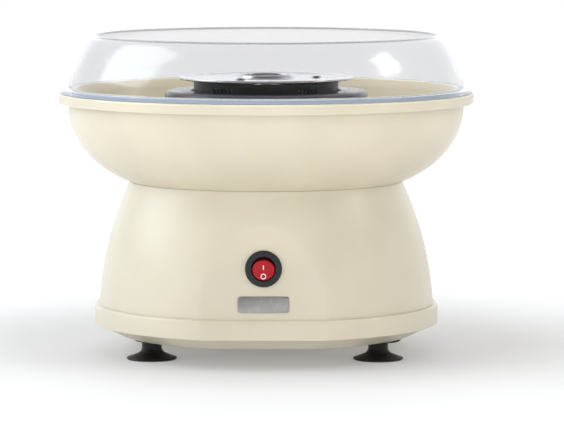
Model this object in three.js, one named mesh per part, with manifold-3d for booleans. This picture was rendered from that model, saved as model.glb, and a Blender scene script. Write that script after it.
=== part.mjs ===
// Tabletop cotton candy machine: a moulded base on four suction feet, a lift-off bowl with a clear
// guard, and a motor-driven extractor head over a heater ring. Millimetres, +Z up, origin on the
// floor under the centre of the bowl; the switch and badge face -Y.
import * as THREE from "three";
import { mergeVertices } from "three/addons/utils/BufferGeometryUtils.js";
import Module from "manifold-3d";

const wasm = await Module();
wasm.setup();

// ---- driving dimensions ----
const GAP = 0.3;                  // clearance between neighbouring pieces
const WALL = 2.5;                 // moulded wall
const SIDES = 36;                 // facets round a large turned piece
const SMALL_SIDES = 16;           // round a foot or a barrel
const SCREW_SIDES = 8;            // round a screw

const COVER_BOTTOM = 12.5;        // underside of the base
const COVER_TOP = 19.6;           // parting line between cover and housing
const COVER_RADIUS = 116.8;
const COVER_BOTTOM_RADIUS = 100.1;
const COVER_FRONT_BOTTOM = 94;    // distance from the axis to the flat front's lower edge
const SKIRT_RADIUS = 117.1;
const SKIRT_TOP = 30;
const SKIRT_FRONT = 109.3;        // distance from the axis to the skirt's flat front
const HOUSING_FOOT_Z = 34;        // where the flowing side of the base starts
const HOUSING_FOOT_RADIUS = 113.6;
const HOUSING_TOP_Z = 116;
const HOUSING_NARROWING = 20.6;   // loss of radius from foot to neck
const HOUSING_CURVE = 1.77;       // exponent of that loss
const FACET_FRONT = 106.3;        // distance from the axis to the front facet at FACET_Z
const FACET_Z = 30.5;
const FACET_SLOPE = 0.078;        // facet's lean, in mm back per mm up
const DECK_TOP = 110.3;           // shelf that the bowl and turret stand on
const NECK_BORE = 90.6;           // opening above the shelf, at the shelf
const NECK_LIP_RADIUS = 93.4;     // where the neck's bevel meets the outside
const NECK_LIP_Z = 116.2;
const MOTOR_HOLE = 24;            // the motor's way through the shelf
const BOSS_RADIUS = 4.6;          // the housing's screw pillars
const RIB = 1.8;                  // thickness of the webs that brace them
const PILOT_RADIUS = 1.9;         // hole that a cover screw bites into

const BOWL_BOTTOM = DECK_TOP + GAP;
const BOWL_WALL = 2.6;
const BOWL_CENTRE_RADIUS = 60;    // centre of the elliptical section
const BOWL_CENTRE_Z = 168;
const BOWL_HALF_WIDTH = 74.4;
const BOWL_HALF_HEIGHT = 57.4;
const BOWL_WALL_RADIUS = BOWL_CENTRE_RADIUS + BOWL_HALF_WIDTH;
const RIM_RADIUS = 141;
const RIM_TOP = 176.6;
const RIM_BOTTOM = 169.8;
const UPSTAND_RADIUS = 131.9;
const UPSTAND_TOP = 180;
const CHIMNEY_RADIUS = 71;        // bore of the bowl round the turret
const CHIMNEY_TOP = 168.6;

const GUARD_FLANGE_RADIUS = 139.8;
const GUARD_FLANGE_TOP = 179.6;
const GUARD_WALL = 2.2;
const GUARD_TOP = 216;
const GUARD_OUTLINE = [[134.6, 181], [133.4, 188.3], [131, 195.2], [127.8, 203.5], [124.3, 209.8],
  [121.8, 213.4], [118.2, 215.6]];
const GUARD_MOUTH_RADIUS = 115.4;

const TURRET_RADIUS = 66;
const TURRET_TOP = 176.9;
const TURRET_BORE = 50;           // inside the turret's foot
const SHIELD_TOP = 178.2;
const SHIELD_SHEET = 0.8;
const SHIELD_RADIUS = 69;
const TROUGH_RADIUS = 52;         // outer face of the shield's inner wall
const TROUGH_FLOOR = 163;

const HEATER_RADIUS = 38;
const HEATER_TUBE = 3.8;
const HEATER_Z = 170.2;
const HEATER_GAP = THREE.MathUtils.degToRad(34);
const CAP_HALF = 4.2;             // half the length of the cap on each end of the tube

const MOTOR_RADIUS = 17.9;
const MOTOR_SHEET = 1.4;
const MOTOR_BOTTOM = 96;
const MOTOR_TOP = 153;
const SHAFT_RADIUS = 3;
const SHAFT_BOTTOM = 91.5;
const SHAFT_TOP = 185.4;
const PIN_Z = 174;                // cross pin that drives the head
const PIN_RADIUS = 1;
const MOTOR_SCREW_X = 12.5;
const BRACKET_ARM = 50;           // radius of the bracket's screws
const BRACKET_SHEET = 1.6;
const PILLAR_TOP = 149.9;
const ARMATURE_RADIUS = 13.1;
const ARMATURE_BOTTOM = 106;
const ARMATURE_TOP = 138;
const ARMATURE_POLES = 5;
const FLINGER_RADIUS = 9;
const FLINGER_BOTTOM = 157.4;

const PLATE_RADIUS = 59.7;        // extractor top plate
const PLATE_TOP = 187.3;
const PLATE_SHEET = 1.3;
const WELL_RADIUS = 17;           // sugar opening
const BAND_RADIUS = 49.1;
const BAND_WALL = 1.2;
const BAND_BOTTOM = 172;
const BAND_TOP = 184.5;
const SLOT_GROUPS = 5;            // the floss leaves through rows of slots
const GROUP_SLOTS = 5;
const SLOT_WIDTH = 2;
const SLOT_PITCH = 3.3;
const SLOT_BOTTOM = 176.8;
const SLOT_TOP = 181.4;
const HEAD_FLOOR_TOP = 179.4;
const HEAD_FLOOR_SHEET = 1.2;
const HUB_RADIUS = 7;
const RIVET_RADIUS = 34;
const RIVET_HOLE = 1.9;

const FOOT_X = 76;
const FOOT_Y = 50;
const FOOT_RADIUS = 17;
const STEM_RADIUS = 6.7;
const VENTS = 7;
const VENT_WIDTH = 3;
const VENT_LENGTH = 44;
const VENT_PITCH = 9;
const COVER_SCREW_RADIUS = 86;
const BOARD_Z = 22;               // underside of the rectifier board
const TURRET_SCREW_RADIUS = 58;

const SWITCH_Z = 66.6;
const BEZEL_RADIUS = 12.1;
const BARREL_RADIUS = 9.9;
const WELL_BORE = 8;              // round opening that the rocker sits in
const BEZEL_PROUD = 2.3;          // bezel's front face above the facet
const PIVOT_DEPTH = 5;            // rocker's pivot behind the bezel's front face
const BARREL_DEPTH = 15;
const ROCKER_TILT = THREE.MathUtils.degToRad(10);
const ROCKER_HALF = 6.8;          // half the rocker's height
const ROCKER_HALF_WIDTH = 7.4;
const TERMINAL_SPREAD = 4;        // each terminal's distance from the middle
const BADGE_Z = 43.1;
const BADGE_WIDTH = 33.4;
const BADGE_HEIGHT = 10.6;
const GLAND_Z = 44;
const GLAND_BORE = 4;
const GLAND_SLEEVE = 6.3;
const GLAND_FLANGE = 9.4;

// ---- materials ----
const finish = (color, roughness, metalness = 0) =>
  new THREE.MeshStandardMaterial({ color, roughness, metalness });
const cream = finish(0xe6dfc8, 0.32);
const clear = new THREE.MeshStandardMaterial({
  color: 0xe9eef2, roughness: 0.05, metalness: 0, transparent: true, opacity: 0.3,
});
const polishedSteel = finish(0xc9cbce, 0.12, 1);
const aluminium = finish(0xd2d3d8, 0.3, 1);
const darkMetal = finish(0x2b2f36, 0.35, 1);
const zincSteel = finish(0xa9abad, 0.4, 1);
const brass = finish(0xb9975a, 0.35, 1);
const copper = finish(0xb0653a, 0.4, 1);
const rubber = finish(0x1b1a1a, 0.7);
const charcoal = finish(0x2a2a2c, 0.35);
const red = finish(0xb81c26, 0.3);
const badgeMetal = finish(0xa5a29e, 0.45, 1);
const ceramic = finish(0xe9e5dc, 0.6);
const quartz = finish(0xded9d2, 0.15);
const laminate = finish(0x2e5a3c, 0.5);

// ---- shape tools ----
const vec = (x, y) => new THREE.Vector2(x, y);

// A closed solid from any closed geometry, whichever way its faces were wound.
function solid(geometry) {
  const shell = geometry.clone();
  shell.deleteAttribute("normal");
  shell.deleteAttribute("uv");
  const merged = mergeVertices(shell, 1e-4);
  const index = merged.index.array;
  const position = merged.attributes.position.array;
  const corner = (i) => new THREE.Vector3().fromArray(position, 3 * i);
  const triangles = [];
  let volume = 0;
  for (let i = 0; i < index.length; i += 3) {
    const [a, b, c] = [index[i], index[i + 1], index[i + 2]];
    if (a !== b && b !== c && c !== a) {
      triangles.push(a, b, c);
      volume += corner(a).dot(corner(b).cross(corner(c)));
    }
  }
  if (volume < 0) {
    triangles.reverse();
  }
  return new wasm.Manifold(new wasm.Mesh({
    numProp: 3, vertProperties: new Float32Array(position), triVerts: new Uint32Array(triangles),
  }));
}

function toGeometry(shape) {
  const mesh = shape.getMesh();
  const geometry = new THREE.BufferGeometry();
  geometry.setAttribute("position", new THREE.BufferAttribute(mesh.vertProperties, 3));
  geometry.setIndex(new THREE.BufferAttribute(mesh.triVerts, 1));
  return geometry;
}

// A solid turned round Z from (radius, z) points: a loop, or an outline that ends on the axis.
function turned(points, sides = SIDES) {
  const outline = points.map(([radius, z]) => vec(radius, z));
  if (points[0][0] > 0) {
    outline.push(vec(...points[0]));
  }
  return solid(new THREE.LatheGeometry(outline, sides).rotateX(Math.PI / 2));
}

function ring(inner, outer, z0, z1, sides = SIDES) {
  return turned([[inner, z0], [outer, z0], [outer, z1], [inner, z1]], sides);
}

function rod(radius, z0, z1, sides = SMALL_SIDES) {
  return turned([[0, z0], [radius, z0], [radius, z1], [0, z1]], sides);
}

function block(x0, x1, y0, y1, z0, z1) {
  const shape = new THREE.BoxGeometry(x1 - x0, y1 - y0, z1 - z0);
  return solid(shape.translate((x0 + x1) / 2, (y0 + y1) / 2, (z0 + z1) / 2));
}

function joined(...shapes) {
  return shapes.reduce((whole, shape) => whole.add(shape));
}

function cut(shape, ...tools) {
  return tools.reduce((rest, tool) => rest.subtract(tool), shape);
}

function moved(shape, matrix) {
  return solid(toGeometry(shape).applyMatrix4(matrix));
}

function placed(shape, x, y, z = 0, turn = 0) {
  const matrix = new THREE.Matrix4().makeRotationZ(turn);
  return moved(shape, matrix.setPosition(x, y, z));
}

// Points of an arc in (radius, z), from one angle to another in degrees.
function arc(centre, radius, from, to, steps) {
  return Array.from({ length: steps + 1 }, (_, i) => {
    const angle = THREE.MathUtils.degToRad(from + (to - from) * i / steps);
    return [centre[0] + radius * Math.cos(angle), centre[1] + radius * Math.sin(angle)];
  });
}

const polar = (radius, angle) => [radius * Math.cos(angle), radius * Math.sin(angle)];
const thirds = (start) => [0, 1, 2].map((i) => start + i * 2 * Math.PI / 3);
const screwAngles = [65, 115, 245, 295].map(THREE.MathUtils.degToRad);

const group = new THREE.Group();

function add(name, material, shape) {
  const mesh = new THREE.Mesh(toGeometry(shape), material);
  mesh.name = name;
  group.add(mesh);
}

// A screw along Z with its head's outer face at `top`; a negative length points it upward.
function screw(headRadius, headHeight, shankRadius, top, length) {
  const way = -Math.sign(length);
  const under = top + way * headHeight;
  const tip = top - length;
  return turned([[0, top], [headRadius * 0.75, top], [headRadius, under], [shankRadius, under],
    [shankRadius, tip], [0, tip]], SCREW_SIDES);
}

// ---- the front facet's own frame: x across, y up the facet, z out of it ----
const FACET_LEAN = Math.atan(FACET_SLOPE);
const PIVOT_OUT = BEZEL_PROUD - PIVOT_DEPTH;

// Front chamfer of the cover: its plane passes both edges of the sloping front.
const COVER_LEAN = -Math.atan((SKIRT_FRONT - COVER_FRONT_BOTTOM) / (COVER_TOP - COVER_BOTTOM));

function facetMatrix(z) {
  const distance = FACET_FRONT - FACET_SLOPE * (z - FACET_Z);
  return new THREE.Matrix4().makeRotationX(Math.PI / 2 - FACET_LEAN).setPosition(0, -distance, z);
}

// Everything behind a front plane that is `distance` from the axis at height z and leans back.
function behindPlane(distance, z, lean) {
  const size = 500;
  const slab = new THREE.BoxGeometry(size, size, size).translate(0, size / 2, 0);
  return solid(slab.rotateX(-lean).translate(0, -distance, z));
}

// ---- base ----
function sideRadius(z) {
  const climb = (z - HOUSING_FOOT_Z) / (HOUSING_TOP_Z - HOUSING_FOOT_Z);
  return HOUSING_FOOT_RADIUS - HOUSING_NARROWING * Math.max(climb, 0) ** HOUSING_CURVE;
}

function sideOutline(inset, from, to, steps) {
  return Array.from({ length: steps + 1 }, (_, i) => {
    const z = from + (to - from) * i / steps;
    return [sideRadius(z) - inset, z];
  });
}

// The outside of the housing, or its hollow when every face is moved in by `inset`.
function housingBody(inset) {
  const bottom = COVER_TOP + GAP - inset;
  const top = HOUSING_TOP_Z;
  const shoulder = 3.2;
  const tower = turned([[0, bottom], [HOUSING_FOOT_RADIUS - inset, bottom],
    ...sideOutline(inset, HOUSING_FOOT_Z, top, 5), [0, top]]);
  const facet = behindPlane(FACET_FRONT - inset, FACET_Z, FACET_LEAN);
  const skirt = turned([[0, bottom], [SKIRT_RADIUS - inset, bottom],
    [SKIRT_RADIUS - inset, SKIRT_TOP - inset],
    ...arc([SKIRT_RADIUS - inset - shoulder, SKIRT_TOP - inset], shoulder, 30, 90, 2),
    [0, SKIRT_TOP - inset + shoulder]]);
  const skirtFront = behindPlane(SKIRT_FRONT - inset, SKIRT_TOP, 0);
  return joined(tower.intersect(facet), skirt.intersect(skirtFront));
}

function baseHousing() {
  const deckBottom = DECK_TOP - WALL;
  const above = HOUSING_TOP_Z + 4;
  const shell = cut(housingBody(0), housingBody(WALL).intersect(rod(200, 0, deckBottom, 4)));
  // The neck opens into a shelf, and its bevelled top follows the underside of the bowl.
  const neck = turned([[0, DECK_TOP], [NECK_BORE, DECK_TOP], [NECK_BORE - 0.4, NECK_LIP_Z - 1.2],
    [NECK_LIP_RADIUS, NECK_LIP_Z], [NECK_LIP_RADIUS, above], [0, above]]);
  const bosses = screwAngles.map((angle) =>
    placed(rod(BOSS_RADIUS, 21, deckBottom + 0.5, 8), ...polar(COVER_SCREW_RADIUS, angle)));
  const web = block(COVER_SCREW_RADIUS + 3, SKIRT_RADIUS, -RIB / 2, RIB / 2, 60, 106);
  const ribs = screwAngles.map((angle) => placed(web, 0, 0, 0, angle).intersect(housingBody(1)));
  const pilots = screwAngles.map((angle) =>
    placed(rod(PILOT_RADIUS, 10, 36, SCREW_SIDES), ...polar(COVER_SCREW_RADIUS, angle)));
  const turretHoles = thirds(Math.PI / 2).map((angle) =>
    placed(rod(2, deckBottom - 5, above, SCREW_SIDES), ...polar(TURRET_SCREW_RADIUS, angle)));
  const switchHole = moved(rod(BARREL_RADIUS + GAP, -12, 12, SMALL_SIDES), facetMatrix(SWITCH_Z));
  const badgeSeat = moved(badgeShape(GAP, -0.8, 5), facetMatrix(BADGE_Z));
  const glandPad = placedRear(rod(GLAND_FLANGE + 2.6, -7.5, -1.6, SMALL_SIDES));
  const glandSeat = placedRear(rod(GLAND_FLANGE + 1, -1.2, 12, SMALL_SIDES));
  const glandHole = placedRear(rod(GLAND_SLEEVE + GAP, -12, 12, SMALL_SIDES));
  const motorHole = rod(MOTOR_HOLE, deckBottom - 5, above, 24);
  const body = joined(cut(shell, neck), ...bosses, ...ribs, glandPad);
  return cut(body, motorHole, ...pilots, ...turretHoles, switchHole, badgeSeat, glandSeat,
    glandHole);
}

// Turns a shape made along +Z so that it points out of the rear wall at the gland.
function placedRear(shape) {
  const matrix = new THREE.Matrix4().makeRotationX(-Math.PI / 2);
  return moved(shape, matrix.setPosition(0, sideRadius(GLAND_Z), GLAND_Z));
}

// The badge's rounded rectangle in the facet's frame, wider by `grow` all round.
function badgeShape(grow, z0, z1) {
  const half = BADGE_WIDTH / 2 + grow;
  const tall = BADGE_HEIGHT / 2 + grow;
  const corner = 1.6 + grow;
  const outline = new THREE.Shape();
  outline.moveTo(-half + corner, -tall);
  outline.lineTo(half - corner, -tall);
  outline.absarc(half - corner, -tall + corner, corner, -Math.PI / 2, 0);
  outline.lineTo(half, tall - corner);
  outline.absarc(half - corner, tall - corner, corner, 0, Math.PI / 2);
  outline.lineTo(-half + corner, tall);
  outline.absarc(-half + corner, tall - corner, corner, Math.PI / 2, Math.PI);
  outline.lineTo(-half, -tall + corner);
  outline.absarc(-half + corner, -tall + corner, corner, Math.PI, 1.5 * Math.PI);
  const options = { depth: z1 - z0, bevelEnabled: false, curveSegments: 4 };
  return solid(new THREE.ExtrudeGeometry(outline, options).translate(0, 0, z0));
}

// The outside of the cover, or its hollow when `inset` is the wall.
function coverDish(inset, top) {
  const floor = COVER_BOTTOM + inset;
  const dish = turned([[0, floor], [COVER_BOTTOM_RADIUS - inset / 2, floor],
    [COVER_RADIUS - inset, COVER_TOP - 0.6 + inset / 3], [COVER_RADIUS - inset, top], [0, top]]);
  const slope = behindPlane(COVER_FRONT_BOTTOM - inset * 0.9, COVER_BOTTOM + inset * 0.3,
    COVER_LEAN);
  return dish.intersect(slope).intersect(behindPlane(SKIRT_FRONT - 0.3 - inset, 0, 0));
}

function footPlaces() {
  return ["front", "rear"].flatMap((end) => ["left", "right"].map((side) =>
    [`${end}_${side}`, side === "left" ? -FOOT_X : FOOT_X, end === "front" ? -FOOT_Y : FOOT_Y]));
}

function bottomCover() {
  const below = COVER_BOTTOM - 5;
  const above = COVER_TOP + 5;
  const dish = cut(coverDish(0, COVER_TOP), coverDish(WALL, above));
  const holes = footPlaces().map(([, x, y]) => placed(rod(3.3, below, above, 12), x, y));
  const screwPads = screwAngles.map((angle) =>
    placed(rod(5.4, COVER_BOTTOM + 0.5, 20.5, 12), ...polar(COVER_SCREW_RADIUS, angle)));
  const screwBore = joined(rod(2, below, above, SCREW_SIDES), rod(3.9, below, 17.4, SCREW_SIDES));
  const screwBores = screwAngles.map((angle) =>
    placed(screwBore, ...polar(COVER_SCREW_RADIUS, angle)));
  const vents = Array.from({ length: VENTS }, (_, i) => {
    const x = (i - (VENTS - 1) / 2) * VENT_PITCH;
    return block(x - VENT_WIDTH / 2, x + VENT_WIDTH / 2, -VENT_LENGTH / 2, VENT_LENGTH / 2,
      below, above);
  });
  const posts = [[-52, 16], [-52, 40], [-24, 16], [-24, 40]].map(([x, y]) =>
    placed(rod(2.4, COVER_BOTTOM + 1, BOARD_Z - GAP, 8), x, y));
  return cut(joined(dish, ...screwPads, ...posts), ...holes, ...screwBores, ...vents);
}

// A suction cup on a stem, with a barb that snaps into the cover.
function foot() {
  const stemTop = COVER_BOTTOM - GAP;
  const barbBottom = COVER_BOTTOM + WALL + 0.4;
  return turned([[0, 2.4], [8, 1.9], [12.6, 0], [FOOT_RADIUS - 0.3, 0], [FOOT_RADIUS, 0.9],
    [14.2, 2.2], [8, 5], [STEM_RADIUS, 6.7], [STEM_RADIUS, stemTop], [3, stemTop],
    [3, barbBottom], [4.6, barbBottom], [3.2, barbBottom + 3], [0, barbBottom + 3]], 12);
}

function coverScrew() {
  return screw(3.5, 2, 1.6, 15, -16);
}

function cordGland() {
  return placedRear(turned([[GLAND_BORE, -9.5], [GLAND_SLEEVE, -9.5], [GLAND_SLEEVE, -0.9],
    [GLAND_FLANGE, -0.9], [GLAND_FLANGE, 0.7], [7, 3.4], [GLAND_BORE, 4.2]], SMALL_SIDES));
}

// ---- turret, shield, heater ----
function turret() {
  const bottom = DECK_TOP + GAP;
  const inner = TURRET_RADIUS - WALL;
  const ledge = TROUGH_RADIUS + 5;
  const tube = turned([[TURRET_BORE, bottom], [TURRET_RADIUS, bottom],
    [TURRET_RADIUS, TURRET_TOP - 2.2], [TURRET_RADIUS - 1.8, TURRET_TOP], [ledge, TURRET_TOP],
    [ledge, TURRET_TOP - 2.4], [inner, TURRET_TOP - 4], [inner, bottom + 3],
    [TURRET_BORE, bottom + 3]]);
  const web = block(2, inner - BRACKET_ARM + 1, -1, 1, bottom, PILLAR_TOP - 6);
  const pillar = joined(rod(5, bottom, PILLAR_TOP, 12), web);
  const pillars = thirds(-Math.PI / 2).map((angle) =>
    placed(pillar, ...polar(BRACKET_ARM, angle), 0, angle));
  const pillarPilots = thirds(-Math.PI / 2).map((angle) =>
    placed(rod(1.7, PILLAR_TOP - 12, PILLAR_TOP + 5, SCREW_SIDES), ...polar(BRACKET_ARM, angle)));
  const screwBosses = thirds(Math.PI / 2).map((angle) =>
    placed(rod(4, bottom + 1, bottom + 12, 12), ...polar(TURRET_SCREW_RADIUS, angle)));
  const screwPilots = thirds(Math.PI / 2).map((angle) =>
    placed(rod(1.8, bottom - 1, bottom + 9, SCREW_SIDES), ...polar(TURRET_SCREW_RADIUS, angle)));
  return cut(joined(tube, ...pillars, ...screwBosses), ...pillarPilots, ...screwPilots);
}

function turretScrew() {
  return screw(3.4, 2, 1.5, DECK_TOP - WALL - GAP - 2, -12);
}

function heatShield() {
  const t = SHIELD_SHEET;
  const floor = TROUGH_FLOOR;
  const skirt = SHIELD_TOP - 8.2;
  const round = 4.6;
  const hole = 9;
  const shoulder = [SHIELD_RADIUS - round, SHIELD_TOP - round];
  return turned([[hole, floor], [TROUGH_RADIUS - 3 - t, floor], [TROUGH_RADIUS - t, floor + 3],
    [TROUGH_RADIUS - t, SHIELD_TOP - 1], [TROUGH_RADIUS, SHIELD_TOP],
    ...arc(shoulder, round, 90, 0, 3), [SHIELD_RADIUS, skirt], [SHIELD_RADIUS - t, skirt],
    ...arc(shoulder, round - t, 0, 90, 2), [TROUGH_RADIUS + 0.6, SHIELD_TOP - t],
    [TROUGH_RADIUS, SHIELD_TOP - 1 - t], [TROUGH_RADIUS, floor + 3],
    [TROUGH_RADIUS - 3, floor - t], [hole, floor - t]]);
}

// The quartz tube runs round the trough and stops short of a full turn at the rear.
function heaterRing() {
  const curve = new THREE.CatmullRomCurve3(Array.from({ length: 33 }, (_, i) => {
    const angle = Math.PI / 2 + HEATER_GAP / 2 + (2 * Math.PI - HEATER_GAP) * i / 32;
    return new THREE.Vector3(...polar(HEATER_RADIUS, angle), HEATER_Z);
  }));
  const section = new THREE.Shape(Array.from({ length: 8 }, (_, i) =>
    vec(...polar(HEATER_TUBE, (i + 0.5) * Math.PI / 4))));
  return solid(new THREE.ExtrudeGeometry(section, { extrudePath: curve, steps: 36 }));
}

function heaterPost() {
  const bottom = TROUGH_FLOOR + GAP;
  const top = HEATER_Z - HEATER_TUBE - GAP;
  return turned([[0, bottom], [5, bottom], [5, bottom + 1.2], [3, bottom + 1.7], [3, top],
    [0, top]], 12);
}

function heaterCap() {
  return block(-4.6, 4.6, -3.2, 3.2, TROUGH_FLOOR + GAP, HEATER_Z + 4.6);
}

// ---- motor ----
function motorCan() {
  const inner = MOTOR_RADIUS - MOTOR_SHEET;
  const roof = MOTOR_TOP - MOTOR_SHEET;
  const bore = SHAFT_RADIUS + GAP;
  const collar = 6.4;
  const can = turned([[bore, roof], [inner, roof], [inner, MOTOR_BOTTOM],
    [MOTOR_RADIUS, MOTOR_BOTTOM], [MOTOR_RADIUS, MOTOR_TOP - 1], [MOTOR_RADIUS - 1, MOTOR_TOP],
    [collar, MOTOR_TOP], [collar, MOTOR_TOP + 3], [bore, MOTOR_TOP + 3]], 24);
  const holes = [-1, 1].map((side) =>
    placed(rod(1.5, roof - 5, MOTOR_TOP + 5, SCREW_SIDES), side * MOTOR_SCREW_X, 0));
  return cut(can, ...holes);
}

function motorMagnet() {
  const outer = MOTOR_RADIUS - MOTOR_SHEET - GAP;
  const shell = ring(outer - 2.4, outer, 102, 146, 24);
  return shell.intersect(block(4, 30, -30, 30, 90, 160));
}

function motorEndBell() {
  const outer = MOTOR_RADIUS - 0.6;
  const top = MOTOR_BOTTOM - GAP;
  const bore = SHAFT_RADIUS + GAP;
  const cup = SHAFT_BOTTOM - 1;
  return turned([[0, cup - 2], [6, cup - 2], [6, cup + 0.5], [outer, cup + 1.3], [outer, top],
    [5.4, top], [5.4, cup + 3], [bore, cup + 3], [bore, cup], [0, cup]], 24);
}

function motorBracket() {
  const z0 = MOTOR_TOP + GAP;
  const z1 = z0 + BRACKET_SHEET;
  const plate = rod(23, z0, z1, 24);
  const arms = thirds(-Math.PI / 2).flatMap((angle) =>
    [placed(block(15, BRACKET_ARM, -6.5, 6.5, z0, z1), 0, 0, 0, angle),
      placed(rod(6.5, z0, z1, 16), ...polar(BRACKET_ARM, angle))]);
  const hole = (radius, x, y, sides) => placed(rod(radius, z0 - 9, z1 + 9, sides), x, y);
  const holes = thirds(-Math.PI / 2).map((angle) =>
    hole(2.3, ...polar(BRACKET_ARM, angle), SCREW_SIDES));
  const motorHoles = [-1, 1].map((side) => hole(1.8, side * MOTOR_SCREW_X, 0, SCREW_SIDES));
  return cut(joined(plate, ...arms), hole(6.8, 0, 0, 16), ...holes, ...motorHoles);
}

function grommet() {
  return ring(2.3, 5.2, PILLAR_TOP + GAP, MOTOR_TOP, 12);
}

function bracketScrew() {
  const headHeight = 2.2;
  return screw(4, headHeight, 1.4, MOTOR_TOP + BRACKET_SHEET + 2 * GAP + headHeight, 14);
}

function motorScrew() {
  const headHeight = 1.8;
  return screw(2.7, headHeight, 1.2, MOTOR_TOP + BRACKET_SHEET + 2 * GAP + headHeight, 6.5);
}

function motorShaft() {
  const shaft = turned([[0, SHAFT_BOTTOM], [SHAFT_RADIUS, SHAFT_BOTTOM],
    [SHAFT_RADIUS, SHAFT_TOP - 1], [SHAFT_RADIUS - 1, SHAFT_TOP], [0, SHAFT_TOP]], 16);
  return cut(shaft, sideways(rod(PIN_RADIUS + GAP, -10, 10, 8), PIN_Z));
}

// Lays a shape made along Z along X instead, at height z.
function sideways(shape, z) {
  return moved(shape, new THREE.Matrix4().makeRotationY(Math.PI / 2).setPosition(0, 0, z));
}

function armatureCore() {
  const core = rod(ARMATURE_RADIUS, ARMATURE_BOTTOM, ARMATURE_TOP, 20);
  const through = [ARMATURE_BOTTOM - 6, ARMATURE_TOP + 12];
  const slot = joined(block(ARMATURE_RADIUS - 1.1, ARMATURE_RADIUS + 1, -0.8, 0.8, ...through),
    block(7, ARMATURE_RADIUS - 1, -2.6, 2.6, ...through));
  const slots = Array.from({ length: ARMATURE_POLES }, (_, i) =>
    placed(slot, 0, 0, 0, i * 2 * Math.PI / ARMATURE_POLES));
  return cut(core, ...slots, rod(SHAFT_RADIUS + GAP, ...through));
}

function commutator() {
  return ring(SHAFT_RADIUS + GAP, 5.1, 94, 104, 16);
}

function shaftFlinger() {
  const top = FLINGER_BOTTOM + 3;
  return turned([[SHAFT_RADIUS + GAP, FLINGER_BOTTOM], [5.5, FLINGER_BOTTOM],
    [FLINGER_RADIUS, top - 0.8], [FLINGER_RADIUS, top], [SHAFT_RADIUS + GAP, top]], 16);
}

// ---- electrics ----
function thermalCutout() {
  const top = TROUGH_FLOOR - SHIELD_SHEET - GAP;
  const tabs = [[20, 24.5], [37.5, 42]].map(([x0, x1]) =>
    block(x0, x1, -2, 2, top - 3.1, top - 2.1));
  return joined(block(24, 38, -5, 5, top - 4.3, top), ...tabs);
}

function rectifierBoard() {
  const top = BOARD_Z + 1.6;
  const board = block(-56, -20, 12, 44, BOARD_Z, top);
  const diode = block(-4.5, 4.5, -1.6, 1.6, top - 0.6, top + 3.4);
  const diodes = [0, 1, 2, 3].map((i) => placed(diode, -46, 16 + 7 * i));
  const capacitor = placed(rod(6.5, top - 0.6, top + 14.4), -30, 28);
  return joined(board, ...diodes, capacitor);
}

function terminalBlock() {
  const body = block(26, 56, 18, 36, COVER_BOTTOM + WALL + GAP, 28);
  const well = rod(2.6, 21, 30, SCREW_SIDES);
  const wells = [31, 41, 51].flatMap((x) => [23, 31].map((y) => placed(well, x, y)));
  return cut(body, ...wells);
}

// ---- switch, in the facet's frame ----
function switchHousing() {
  const front = BEZEL_PROUD;
  const wellFloor = PIVOT_OUT - 4;
  const bezel = turned([[WELL_BORE, wellFloor], [WELL_BORE, front - 0.6], [WELL_BORE + 0.8, front],
    [BEZEL_RADIUS - 1.5, front], [BEZEL_RADIUS, front - 1.3], [BEZEL_RADIUS, GAP],
    [BARREL_RADIUS, GAP], [BARREL_RADIUS, -BARREL_DEPTH], [0, -BARREL_DEPTH], [0, wellFloor]], 24);
  const clip = block(BARREL_RADIUS - 1.4, BARREL_RADIUS + 1.1, -2, 2, -9, -3.4);
  const clips = [0, Math.PI].map((turn) => placed(clip, 0, 0, 0, turn));
  const pinHole = rod(PIN_RADIUS + GAP, -BARREL_RADIUS + 0.4, BARREL_RADIUS - 0.4, 8);
  const pinHoles = sideways(pinHole, PIVOT_OUT);
  return cut(joined(bezel, ...clips), pinHoles);
}

function switchTerminal() {
  const blade = block(-3.1, 3.1, -0.4, 0.4, -BARREL_DEPTH - 10, -BARREL_DEPTH - GAP);
  const eye = new THREE.Matrix4().makeRotationX(Math.PI / 2);
  return cut(blade, moved(rod(0.9, -5, 5, 8), eye.setPosition(0, 0, -BARREL_DEPTH - 6)));
}

// The rocker's two faces meet in a shallow V, and at rest it is tipped to one side: off.
function rocker() {
  const half = ROCKER_HALF;
  const crown = PIVOT_DEPTH;
  const tip = crown + half * Math.tan(ROCKER_TILT);
  const profile = new THREE.Shape([vec(-half - 1, -1), vec(half + 1, -1), vec(half + 1, tip),
    vec(half, tip), vec(0, crown), vec(-half, tip), vec(-half - 1, tip)]);
  const bar = solid(new THREE.ExtrudeGeometry(profile, { depth: 20, bevelEnabled: false })
    .translate(0, 0, -10));
  const upright = new THREE.Matrix4().makeBasis(new THREE.Vector3(0, 1, 0),
    new THREE.Vector3(0, 0, 1), new THREE.Vector3(1, 0, 0));
  const round = rod(ROCKER_HALF_WIDTH, -3, 12, 24);
  const oval = moved(round, new THREE.Matrix4().makeScale(1, half / ROCKER_HALF_WIDTH, 1));
  const pin = sideways(rod(PIN_RADIUS, -BARREL_RADIUS + 0.8, BARREL_RADIUS - 0.8, 8), 0);
  const body = joined(moved(bar, upright).intersect(oval), pin);
  const tilt = new THREE.Matrix4().makeRotationX(ROCKER_TILT).setPosition(0, 0, PIVOT_OUT);
  return moved(body, tilt);
}

// ---- bowl and guard ----
function bowlOutline(inset, from, to, steps) {
  return Array.from({ length: steps + 1 }, (_, i) => {
    const angle = THREE.MathUtils.degToRad(from + (to - from) * i / steps);
    return [BOWL_CENTRE_RADIUS + (BOWL_HALF_WIDTH - inset) * Math.cos(angle),
      BOWL_CENTRE_Z - (BOWL_HALF_HEIGHT - inset) * Math.sin(angle)];
  });
}

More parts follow.
